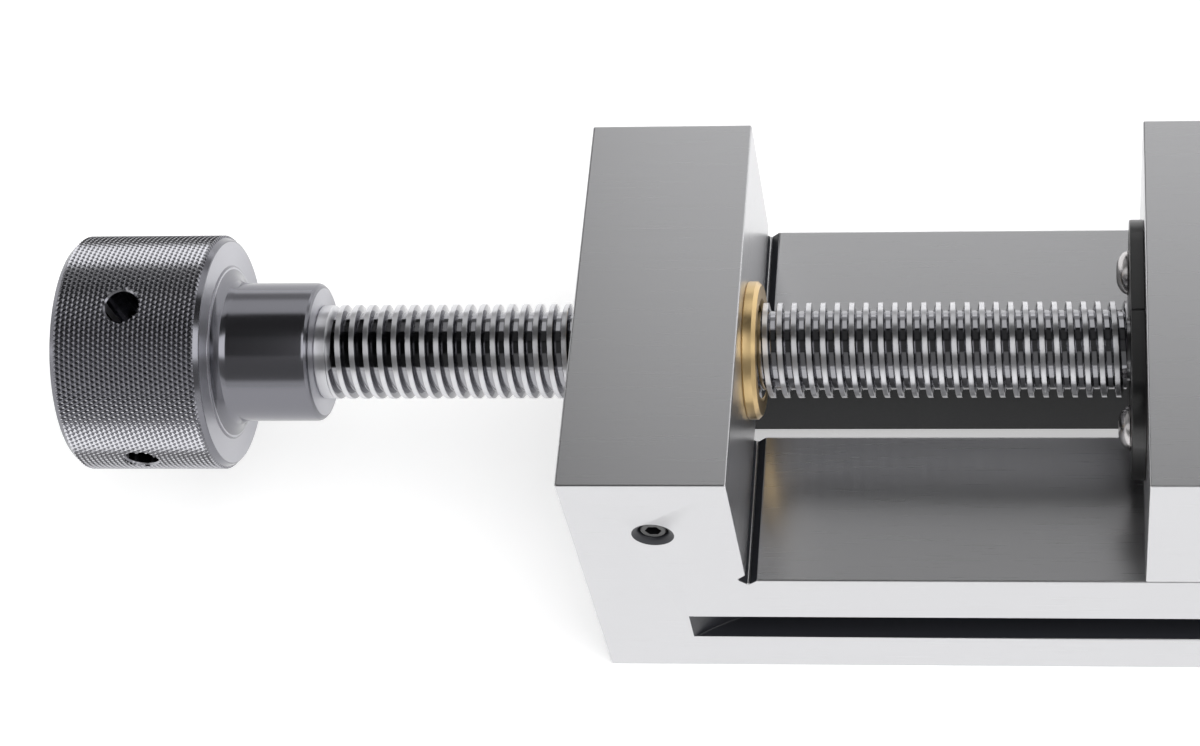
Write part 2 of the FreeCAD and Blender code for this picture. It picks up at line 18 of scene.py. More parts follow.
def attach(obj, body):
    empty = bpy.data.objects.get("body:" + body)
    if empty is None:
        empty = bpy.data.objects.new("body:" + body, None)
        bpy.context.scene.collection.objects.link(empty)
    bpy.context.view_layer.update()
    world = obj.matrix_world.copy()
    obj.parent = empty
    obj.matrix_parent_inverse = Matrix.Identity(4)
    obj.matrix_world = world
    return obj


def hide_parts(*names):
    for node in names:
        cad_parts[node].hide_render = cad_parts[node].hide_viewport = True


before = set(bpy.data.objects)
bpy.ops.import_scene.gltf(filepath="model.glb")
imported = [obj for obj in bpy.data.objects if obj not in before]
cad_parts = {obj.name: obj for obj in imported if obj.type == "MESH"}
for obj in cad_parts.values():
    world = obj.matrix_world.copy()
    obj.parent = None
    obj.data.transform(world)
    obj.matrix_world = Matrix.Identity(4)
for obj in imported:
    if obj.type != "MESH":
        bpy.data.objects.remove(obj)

LOG = logging.getLogger("toolmakers_vise")
MM = 0.001
PHOTO_WIDTH = 1200.0
SENSOR_WIDTH = 36.0

# Height of the screw's axis over the base.
AXIS_HEIGHT = 60.0
# Room in radius between a screw, pin or bush and its hole.
FIT = 0.02
# How far a cutter reaches past what it cuts.
PAST = 1.0
# Points round a large, a middling and a small turned piece.
ROUND_LARGE = 96
ROUND_MIDDLE = 64
ROUND_SMALL = 48

Pair = tuple[float, float]
Triple = tuple[float, float, float]
Pairs = tuple[Pair, ...]


class Body(Enum):
    """The three rigid bodies of the vise."""

    FRAME = "vise_frame"
    CARRIAGE = "jaw_carriage"
    SCREW = "screw_and_knob"


class Slot(Enum):
    """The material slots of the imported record."""

    GROUND = "ground_steel"
    BRIGHT = "bright_steel"
    BLACK = "black_steel"
    BRONZE = "bronze"


class Axis(Enum):
    """Which way a turned piece's own axis points, as a turn of the X axis."""

    X = Matrix.Identity(4)
    Y = Matrix.Rotation(math.pi / 2, 4, "Z")
    MINUS_Y = Matrix.Rotation(-math.pi / 2, 4, "Z")
    Z = Matrix.Rotation(-math.pi / 2, 4, "Y")


class Plane(Enum):
    """The plane of a flat outline: which of (along, up, out of the plane) gives x, y and z."""

    XY = (0, 1, 2)
    XZ = (0, 2, 1)
    YZ = (2, 0, 1)


# Geometry helpers


def from_bmesh(name: str, shape: bmesh.types.BMesh) -> bpy.types.Object:
    """Turns a closed bmesh in millimetres into an object in metres.

    Args:
        name: The object's name.
        shape: The closed shape. It is freed here.

    Returns:
        The new object, with its normals outwards.
    """
    bmesh.ops.recalc_face_normals(shape, faces=shape.faces)
    shape.transform(Matrix.Scale(MM, 4))
    mesh = bpy.data.meshes.new(name)
    shape.to_mesh(mesh)
    shape.free()
    piece = bpy.data.objects.new(name, mesh)
    bpy.context.scene.collection.objects.link(piece)
    return piece


def ring_angles(count: int) -> list[float]:
    """Evenly spaced angles round a circle, in radians."""
    return [2 * math.pi * i / count for i in range(count)]


def add_ring(shape: bmesh.types.BMesh, along: float, radius: float, angles: Sequence[float]) -> list:
    """Adds one ring of points about the X axis, or one point where the radius is nought.

    Args:
        shape: The bmesh to add to.
        along: Place along X.
        radius: Radius of the ring.
        angles: Angles of its points.

    Returns:
        The ring's points.
    """
    if radius <= 0:
        return [shape.verts.new((along, 0, 0))]
    return [shape.verts.new((along, radius * math.cos(a), radius * math.sin(a))) for a in angles]


def join_rings(shape: bmesh.types.BMesh, first: list, second: list) -> None:
    """Adds the faces between two rings, either of which may be a single point.

    Args:
        shape: The bmesh to add to.
        first: The points of one ring.
        second: The points of the other ring.
    """
    count = max(len(first), len(second))
    for i in range(count):
        j = (i + 1) % count
        corners = [first[i % len(first)], first[j % len(first)]]
        corners += [second[j % len(second)], second[i % len(second)]]
        unique = list(dict.fromkeys(corners))
        if len(unique) > 2:
            shape.faces.new(unique)


def rod(low: float, high: float, radius: float) -> list[Pair]:
    """The profile of a plain cylinder between two places on its axis."""
    return [(low, 0), (low, radius), (high, radius), (high, 0)]


def turned(
    name: str,
    profile: Sequence[Pair],
    at: Triple = (0, 0, 0),
    axis: Axis = Axis.X,
    count: int = ROUND_LARGE,
    hollow: bool = False,
) -> bpy.types.Object:
    """A piece turned on a lathe.

    Args:
        name: The object's name.
        profile: Pairs of place along the axis and radius. It runs from axis to axis, or, where
            hollow, once round a section that doesn't touch the axis.
        at: Where the profile's zero is.
        axis: Which way the axis points.
        count: Points round it.
        hollow: Whether the section closes on itself.

    Returns:
        The new object.
    """
    shape = bmesh.new()
    angles = ring_angles(count)
    rings = [add_ring(shape, along, radius, angles) for along, radius in profile]
    for first, second in zip(rings, rings[1:]):
        join_rings(shape, first, second)
    if hollow:
        join_rings(shape, rings[-1], rings[0])
    shape.transform(Matrix.Translation(at) @ axis.value)
    return from_bmesh(name, shape)


def prism(
    name: str, outline: Sequence[Pair], low: float, high: float, plane: Plane
) -> bpy.types.Object:
    """A flat outline pushed from low to high along its plane's normal.

    Args:
        name: The object's name.
        outline: The corners, in order.
        low: Where it starts.
        high: Where it ends.
        plane: The plane that the outline is drawn in.

    Returns:
        The new object.
    """
    shape = bmesh.new()
    ends = []
    for level in (low, high):
        corners = [(u, v, level) for u, v in outline]
        ends.append([shape.verts.new([corner[i] for i in plane.value]) for corner in corners])
    for end in ends:
        shape.faces.new(end)
    join_rings(shape, *ends)
    return from_bmesh(name, shape)


def block(name: str, low: Triple, high: Triple) -> bpy.types.Object:
    """A box between two corners."""
    outline = [(low[0], low[1]), (high[0], low[1]), (high[0], high[1]), (low[0], high[1])]
    return prism(name, outline, low[2], high[2], Plane.XY)


def arc(centre: Pair, radius: float, start: float, end: float, steps: int) -> list[Pair]:
    """Points along an arc, from one angle in degrees to another."""
    turns = [math.radians(start + (end - start) * i / steps) for i in range(steps + 1)]
    return [(centre[0] + radius * math.cos(t), centre[1] + radius * math.sin(t)) for t in turns]


def rounded_rectangle(half_u: float, half_v: float, radius: float, steps: int = 10) -> list[Pair]:
    """A rectangle about the origin with round corners.

    Args:
        half_u: Half its size along.
        half_v: Half its size up.
        radius: Radius of its corners.
        steps: Edges round each corner.

    Returns:
        Its corners, in order.
    """
    points: list[Pair] = []
    for turn, (su, sv) in enumerate(((1, 1), (-1, 1), (-1, -1), (1, -1))):
        centre = (su * (half_u - radius), sv * (half_v - radius))
        points += arc(centre, radius, 90 * turn, 90 * turn + 90, steps)
    return points


def hexagon(across: float) -> list[Pair]:
    """A hexagon about the origin, by its width across the flats."""
    return arc((0, 0), across / math.sqrt(3), 0, 300, 5)


def settle(piece: bpy.types.Object) -> None:
    """Takes a piece's modifiers into its mesh.

    Args:
        piece: The piece. Its old mesh is deleted.
    """
    graph = bpy.context.evaluated_depsgraph_get()
    mesh = bpy.data.meshes.new_from_object(piece.evaluated_get(graph))
    old = piece.data
    piece.modifiers.clear()
    piece.data = mesh
    mesh.name = old.name
    bpy.data.meshes.remove(old)


def combine(
    piece: bpy.types.Object, tools: Iterable[bpy.types.Object], operation: str = "DIFFERENCE"
) -> None:
    """Cuts tools out of a piece, or joins them to it, and deletes them.

    Args:
        piece: The piece that changes.
        tools: The cutting or joining shapes.
        operation: DIFFERENCE or UNION.
    """
    for tool in tools:
        step = piece.modifiers.new("cut", "BOOLEAN")
        step.operation = operation
        step.solver = "EXACT"
        step.object = tool
        settle(piece)
        mesh = tool.data
        bpy.data.objects.remove(tool)
        bpy.data.meshes.remove(mesh)


def break_edges(piece: bpy.types.Object, width: float, angle: float = 32.0, steps: int = 2) -> None:
    """Rounds a piece's sharp edges over.

    Args:
        piece: The piece.
        width: Width of the broken edge in millimetres.
        angle: Edges sharper than this, in degrees, are broken.
        steps: Faces across the broken edge.
    """
    weld = piece.modifiers.new("weld", "WELD")
    weld.merge_threshold = 0.0005 * MM
    bevel = piece.modifiers.new("edges", "BEVEL")
    bevel.width = width * MM
    bevel.segments = steps
    bevel.limit_method = "ANGLE"
    bevel.angle_limit = math.radians(angle)
    bevel.use_clamp_overlap = False
    bevel.harden_normals = True
    bevel.miter_outer = "MITER_ARC"
    piece.data.shade_smooth()
    settle(piece)


def smooth(piece: bpy.types.Object, angle: float = 32.0) -> None:
    """Shades a piece smooth, apart from edges sharper than an angle in degrees."""
    piece.data.shade_smooth()
    piece.data.set_sharp_from_angle(angle=math.radians(angle))


def spin(piece: bpy.types.Object, degrees: float) -> None:
    """Turns a piece's mesh about the screw's axis.

    Args:
        piece: The piece.
        degrees: How far it turns.
    """
    centre = Matrix.Translation((0, 0, AXIS_HEIGHT * MM))
    turn = Matrix.Rotation(math.radians(degrees), 4, "X")
    piece.data.transform(centre @ turn @ centre.inverted())


def adopt(
    piece: bpy.types.Object, finish: "Finish", body: Body, node: str
) -> bpy.types.Object:
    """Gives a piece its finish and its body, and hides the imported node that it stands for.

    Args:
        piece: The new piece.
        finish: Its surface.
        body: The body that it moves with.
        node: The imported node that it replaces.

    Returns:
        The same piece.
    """
    piece.data.materials.clear()
    piece.data.materials.append(finish.material())
    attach(piece, body.value)
    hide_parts(node)
    LOG.info("%s: %d faces, on %s", piece.name, len(piece.data.polygons), body.value)
    return piece


def dress_faces(
    piece: bpy.types.Object,
    finishes: Sequence["Finish"],
    choose: Callable[[Vector, Vector], "Finish"],
) -> None:
    """Gives each face of an adopted piece one of several finishes.

    Args:
        piece: The piece, which has the first finish.
        finishes: All its finishes, the first one too.
        choose: Picks one of them from a face's middle in millimetres and its normal.
    """
    for finish in finishes[1:]:
        piece.data.materials.append(finish.material())
    for face in piece.data.polygons:
        face.material_index = finishes.index(choose(face.center / MM, face.normal))


# Finishes


def linear(code: str) -> tuple[float, float, float, float]:
    """Turns an sRGB hex colour into linear values with full cover.

    Args:
        code: The colour, as # and six hex digits.

    Returns:
        Red, green, blue and an alpha of 1.
    """
    values = [int(code[i : i + 2], 16) / 255 for i in (1, 3, 5)]
    bent = [v / 12.92 if v <= 0.04045 else ((v + 0.055) / 1.055) ** 2.4 for v in values]
    return (bent[0], bent[1], bent[2], 1.0)


def add_node(
    tree: bpy.types.NodeTree,
    kind: str,
    settings: Optional[dict] = None,
    values: Optional[dict] = None,
    links: Optional[dict] = None,
) -> bpy.types.Node:
    """Adds a node with its settings and links.

    Args:
        tree: The node tree.
        kind: The node's type name.
        settings: Properties of the node itself.
        values: Input values, by name or number.
        links: Output sockets to link, by the name or number of the input.

    Returns:
        The node.
    """
    node = tree.nodes.new(kind)
    for name, value in (settings or {}).items():
        setattr(node, name, value)
    for name, value in (values or {}).items():
        node.inputs[name].default_value = value
    for name, source in (links or {}).items():
        tree.links.new(source, node.inputs[name])
    return node


@dataclass(frozen=True)
class Finish:
    """A surface: what it is made of and how it was made.

    The colour is an sRGB hex value. The pitch is the spacing of the tool marks in millimetres and
    the depth how far they tilt the surface.
    """

    name: str
    colour: str
    metallic: float
    roughness: float
    spread: float = 0.05
    pitch: float = 0.5
    depth: float = 0.02
    anisotropy: float = 0.0
    quarter_turns: float = 0.0
    ior: Optional[float] = None

    def marks(self, tree: bpy.types.NodeTree) -> bpy.types.NodeSocket:
        """The tool marks' pattern. Plain finishes have fine cloudy marks.

        Args:
            tree: The material's node tree.

        Returns:
            The pattern's socket, from 0 to 1.
        """
        place = add_node(tree, "ShaderNodeTexCoord").outputs["Object"]
        noise = add_node(
            tree,
            "ShaderNodeTexNoise",
            values={"Scale": 1 / (self.pitch * MM), "Detail": 3.0, "Roughness": 0.6},
            links={"Vector": place},
        )
        return noise.outputs[0]

    def tangent(self, tree: bpy.types.NodeTree) -> Optional[bpy.types.NodeSocket]:
        """The direction of the marks, where the finish has one."""
        return None

    def material(self) -> bpy.types.Material:
        """The material, made once.

        Returns:
            The material of this name.
        """
        known = bpy.data.materials.get(self.name)
        if known:
            return known
        material = bpy.data.materials.new(self.name)
        material.use_nodes = True
        tree = material.node_tree
        tree.nodes.clear()
        marks = self.marks(tree)
        least, most = max(self.roughness - self.spread, 0.03), self.roughness + self.spread
        roughness = add_node(
            tree,
            "ShaderNodeMapRange",
            values={"To Min": least, "To Max": most},
            links={"Value": marks},
        )
        bump = add_node(
            tree,
            "ShaderNodeBump",
            values={"Strength": 1.0, "Distance": self.depth * MM},
            links={"Height": marks},
        )
        values = {
            "Base Color": linear(self.colour),
            "Metallic": self.metallic,
            "Anisotropic": self.anisotropy,
            "Anisotropic Rotation": self.quarter_turns / 4,
        }
        if self.ior:
            values["IOR"] = self.ior
        links = {"Roughness": roughness.outputs[0], "Normal": bump.outputs[0]}
        tangent = self.tangent(tree)
        if tangent:
            links["Tangent"] = tangent
        shader = add_node(tree, "ShaderNodeBsdfPrincipled", values=values, links=links)
        add_node(tree, "ShaderNodeOutputMaterial", links={"Surface": shader.outputs[0]})
        return material


@dataclass(frozen=True)
class GroundFinish(Finish):
    """Hardened steel, surface ground: fine straight scratches along the table's travel.

    They give the eye a satin grey with faint streaks. Real scratches are under 0.05 mm apart, so
    they are drawn as coarse as they need to show. The run is a scratch's length in millimetres and
    the lay its direction, which is a little askew to X.
    """

    run: float = 30.0
    lay: Triple = (1.0, 0.12, 0.0)
    end_facing: float = 0.7

    def marks(self, tree: bpy.types.NodeTree) -> bpy.types.NodeSocket:
        """Streaks along X, and along Y on the ends, which face X.

        Args:
            tree: The material's node tree.

        Returns:
            The pattern's socket, from 0 to 1.
        """
        coords = add_node(tree, "ShaderNodeTexCoord")
        across = 1 / (self.pitch * MM)
        along = 1 / (self.run * MM)
        streaks = []
        for scale in ((along, across, across), (across, along, across)):
            mapped = add_node(
                tree,
                "ShaderNodeMapping",
                values={"Scale": scale},
                links={"Vector": coords.outputs["Object"]},
            )
            noise = add_node(
                tree,
                "ShaderNodeTexNoise",
                values={"Scale": 1.0, "Detail": 4.0, "Roughness": 0.65},
                links={"Vector": mapped.outputs[0]},
            )
            streaks.append(noise.outputs[0])
        facing = add_node(tree, "ShaderNodeSeparateXYZ", links={"Vector": coords.outputs["Normal"]})
        ends = add_node(
            tree, "ShaderNodeMath", {"operation": "ABSOLUTE"}, links={0: facing.outputs["X"]}
        )
        chosen = add_node(
            tree,
            "ShaderNodeMath",
            {"operation": "GREATER_THAN"},
            {1: self.end_facing},
            {0: ends.outputs[0]},
        )
        mixed = add_node(
            tree,
            "ShaderNodeMix",
            {"data_type": "FLOAT"},
            links={"Factor": chosen.outputs[0], 2: streaks[0], 3: streaks[1]},
        )
        return mixed.outputs[0]

    def tangent(self, tree: bpy.types.NodeTree) -> Optional[bpy.types.NodeSocket]:
        """Square to the scratches, which is the way that they smear a reflection.

        Args:
            tree: The material's node tree.

        Returns:
            The direction's socket.
        """
        facing = add_node(tree, "ShaderNodeNewGeometry").outputs["Normal"]
        node = add_node(
            tree,
            "ShaderNodeVectorMath",
            {"operation": "CROSS_PRODUCT"},
            {1: self.lay},
            {0: facing},
        )
        return node.outputs[0]


@dataclass(frozen=True)
class TurnedFinish(Finish):
    """A surface turned about the X axis: fine rings that smear a reflection square to them."""

    def marks(self, tree: bpy.types.NodeTree) -> bpy.types.NodeSocket:
        """Rings about the vise's screw axis, as steps along X and in radius.

        Args:
            tree: The material's node tree.

        Returns:
            The pattern's socket, from 0 to 1.
        """
        coords = add_node(tree, "ShaderNodeTexCoord")
        parts = add_node(
            tree, "ShaderNodeSeparateXYZ", links={"Vector": coords.outputs["Object"]}
        ).outputs
        height = add_node(
            tree, "ShaderNodeMath", {"operation": "SUBTRACT"}, {1: AXIS_HEIGHT * MM}, {0: parts["Z"]}
        )
        flat = add_node(
            tree, "ShaderNodeCombineXYZ", links={"Y": parts["Y"], "Z": height.outputs[0]}
        )
        radius = add_node(
            tree, "ShaderNodeVectorMath", {"operation": "LENGTH"}, links={0: flat.outputs[0]}
        )
        place = add_node(
            tree, "ShaderNodeCombineXYZ", links={"X": parts["X"], "Y": radius.outputs["Value"]}
        )
        noise = add_node(
            tree,
            "ShaderNodeTexNoise",
            {"noise_dimensions": "2D"},
            {"Scale": 1 / (self.pitch * MM), "Detail": 3.0, "Roughness": 0.6},
            {"Vector": place.outputs[0]},
        )
        return noise.outputs[0]

    def tangent(self, tree: bpy.types.NodeTree) -> Optional[bpy.types.NodeSocket]:
        """Round the X axis."""
        node = add_node(tree, "ShaderNodeTangent", {"direction_type": "RADIAL", "axis": "X"})
        return node.outputs[0]


# Tool steel, hardened and surface ground: satin light grey, reflections smeared across the scratches.
GROUND_STEEL = GroundFinish(
    "ground_tool_steel", "#d1d1d3", 1.0, 0.28, spread=0.02, pitch=0.22, depth=0.0002, anisotropy=0.6
)
# The same steel where it was cut by milling before hardening: blue-black scale that takes little light.
# In the slot, channel, clamp grooves, reliefs and holes it is near black, partly as painted shade there.
MILLED_STEEL_AND_SHADE = Finish(
    "milled_steel_painted_shade", "#2b2c31", 0.0, 0.4, spread=0.08, pitch=0.7, depth=0.004, ior=1.42
)
# Carbon steel, thread roots and flanks: polished by the die, with crisp reflections, and a darker
# grey than the crests as painted shade in the thread's hollows.
THREAD_STEEL_SHADED = TurnedFinish(
    "polished_thread_painted_shade", "#98989c", 1.0, 0.09, spread=0.02, pitch=0.3, depth=0.0004
)
# The thread's crests and the plain turned lengths: bright, smeared along the axis.
CREST_STEEL = TurnedFinish(
    "turned_bright_steel",
    "#d4d4d7",
    1.0,
    0.36,
    spread=0.04,
    pitch=0.25,
    depth=0.0008,
    anisotropy=0.9,
    quarter_turns=1,
)
# Plated steel of the small screws and washers: bright and a little soft.
PLATED_STEEL = Finish("plated_screw_steel", "#c2bfbf", 1.0, 0.22, spread=0.08, pitch=0.35, depth=0.008)
# Bearing steel, hardened and polished.
BEARING_STEEL = Finish("hardened_bearing_steel", "#c4c5c8", 1.0, 0.12, pitch=0.8, depth=0.0005)
# Phosphated steel, turned: dark where it mirrors the dark room, light grey where it mirrors the floor.
# Its grey is darker than the faced steel's, as painted shade on the knob's hub and other turned faces.
BLACK_TURNED_SHADED = TurnedFinish(
    "phosphated_turned_painted_shade", "#7a7a80", 1.0, 0.18, spread=0.02, pitch=0.35, depth=0.0008
)
# The same steel faced on the lathe: each groove of the lay smears reflections along the radius.
# Its grey is lighter than the turned steel's, as painted light on the faces that look along the axis.
BLACK_FACED_LIT = TurnedFinish(
    "phosphated_faced_painted_light",
    "#b6b6bc",
    1.0,
    0.34,
    spread=0.02,
    pitch=0.35,
    depth=0.0006,
    anisotropy=0.8,
    quarter_turns=1,
)
# The same steel in the knurl's grooves, as the roll pressed it: darker than the crests, and smoother.
BLACK_GROOVES = Finish(
    "phosphated_knurl_grooves", "#a4a4a9", 1.0, 0.2, spread=0.05, pitch=0.9, depth=0.001
)
# The same steel on the knurl's crests, which are worn bright and glint.
BLACK_KNURLED = Finish(
    "phosphated_knurled_steel", "#e2e2e6", 1.0, 0.34, spread=0.05, pitch=0.9, depth=0.001
)
# Black oxide over ground plate.
BLACK_PLATE = GroundFinish(
    "black_oxide_plate", "#0b0b0c", 0.0, 0.3, spread=0.05, pitch=0.4, depth=0.001, ior=1.6
)
# Black oxide on the small alloy screws.
BLACK_SCREW = Finish(
    "black_oxide_screw_steel", "#131315", 0.0, 0.34, spread=0.06, pitch=0.5, depth=0.002, ior=1.7
)
# Tin bronze, turned: warm and satin.
TURNED_BRONZE = TurnedFinish(
    "turned_tin_bronze",
    "#dcbf8c",
    1.0,
    0.34,
    spread=0.05,
    pitch=0.4,
    depth=0.001,
    anisotropy=0.5,
    quarter_turns=1,
)


# Sub-assemblies


def socket_cutter(across: float, low: float, high: float, at: Triple, axis: Axis) -> bpy.types.Object:
    """A hexagonal cutter along an axis.

    Args:
        across: Width across the flats.
        low: Where it starts along the axis.
        high: Where it ends along the axis.
        at: The axis's zero.
        axis: Which way the axis points.

    Returns:
        The cutter.
    """
    cutter = prism("socket", hexagon(across), low, high, Plane.YZ)
    cutter.data.transform(Matrix.Translation(Vector(at) * MM) @ axis.value)
    return cutter


@dataclass
class SetScrew:
    """A headless socket screw. It starts at its tip and its socket is at the far end."""

    node: str
    station: float
    axis: Axis
    start: float
    length: float
    body: Body
    radius: float = 3.0
    chamfer: float = 0.5
    socket: float = 3.0
    socket_depth: float = 3.0
    turn: float = 0.0

    def build(self) -> bpy.types.Object:
        """Makes the screw, with its socket cut.

        Returns:
            The finished screw.
        """
        at = (self.station, 0, AXIS_HEIGHT)
        end = self.start + self.length
        tip = self.radius - self.chamfer
        profile = [
            (self.start, 0),
            (self.start, tip),
            (self.start + self.chamfer, self.radius),
            (end - self.chamfer, self.radius),
            (end, tip),
            (end, 0),
        ]
        screw = turned(f"{self.node}_dressed", profile, at, self.axis, ROUND_SMALL)
        combine(screw, [socket_cutter(self.socket, end - self.socket_depth, end + PAST, at, self.axis)])
        spin(screw, self.turn)
        smooth(screw)
        return adopt(screw, BLACK_SCREW, self.body, self.node)


@dataclass
class KeeperBolt:
    """A cap screw that holds the keeper up from below, with its washer.

    Zero along its axis is where the head meets the washer.
    """

    end: str
    station: float
    seat: float
    head_radius: float = 5.0
    head_height: float = 6.0
    crown: float = 0.6
    under_edge: float = 0.2
    shank_radius: float = 3.0
    length: float = 21.6
    point_length: float = 0.5
    point_depth: float = 0.4
    socket: float = 5.0
    socket_depth: float = 3.0
    washer_bore: float = 3.2
    washer_radius: float = 5.5
    washer_thickness: float = 1.6
    washer_edge: float = 0.1

    def screw(self) -> bpy.types.Object:
        """The cap screw.

        Returns:
            The finished screw.
        """
        top, radius, shank = -self.head_height, self.head_radius, self.shank_radius
        profile = [
            (top, 0),
            (top, radius - self.crown),
            (top + self.crown / 3, radius - self.crown / 2),
            (top + self.crown, radius),
            (-self.under_edge, radius),
            (0, radius - self.under_edge),
            (0, shank),
            (self.length - self.point_length, shank),
            (self.length, shank - self.point_depth),
            (self.length, 0),
        ]
        at = (self.station, 0, self.seat)
        bolt = turned(f"cap_screw_{self.end}", profile, at, Axis.Z, ROUND_SMALL)
        combine(bolt, [socket_cutter(self.socket, top - PAST, top + self.socket_depth, at, Axis.Z)])
        smooth(bolt)
        return adopt(bolt, BLACK_SCREW, Body.CARRIAGE, f"keeper_bolt_{self.end}")

    def washer(self) -> bpy.types.Object:
        """The washer between the head and the keeper.

        Returns:
            The finished washer.
        """
        edge, high = self.washer_edge, self.washer_thickness
        bore, radius = self.washer_bore, self.washer_radius
        lower = [(edge, bore), (0, bore + edge), (0, radius - edge), (edge, radius)]
        upper = [(high - along, around) for along, around in reversed(lower)]
        at = (self.station, 0, self.seat)
        ring = turned(f"washer_{self.end}", lower + upper, at, Axis.Z, ROUND_SMALL, hollow=True)
        smooth(ring)
        return adopt(ring, PLATED_STEEL, Body.CARRIAGE, f"keeper_washer_{self.end}")


@dataclass
class ButtonScrew:
    """A button-head screw of the retaining plate. Zero along its axis is the plate's face."""

    end: str
    at: Triple
    dome_height: float = 2.75
    dome_radius: float = 4.6
    dome_angles: tuple[float, ...] = (28, 36, 44, 52, 60, 68, 76, 83)
    rim_radius: float = 4.75
    rim_height: float = 0.3
    under_radius: float = 4.7
    shank_radius: float = 2.5
    length: float = 12.0
    point: float = 0.4
    socket: float = 3.0
    socket_depth: float = 1.6

    def build(self) -> bpy.types.Object:
        """Makes the screw, with its domed head and its socket.

        Returns:
            The finished screw.
        """
        top, shank = -self.dome_height, self.shank_radius
        turns = [math.radians(angle) for angle in self.dome_angles]
        profile = [(top, 0)]
        profile += [(top * math.cos(t), self.dome_radius * math.sin(t)) for t in turns]
        profile += [(-self.rim_height, self.rim_radius), (0, self.under_radius), (0, shank)]
        profile += [(self.length - self.point, shank), (self.length, shank - self.point)]
        profile += [(self.length, 0)]
        screw = turned(f"button_screw_{self.end}", profile, self.at, count=ROUND_MIDDLE)
        socket_floor = top + self.socket_depth
        combine(screw, [socket_cutter(self.socket, top - PAST, socket_floor, self.at, Axis.X)])
        smooth(screw, angle=40)
        return adopt(screw, PLATED_STEEL, Body.CARRIAGE, f"retainer_screw_{self.end}")


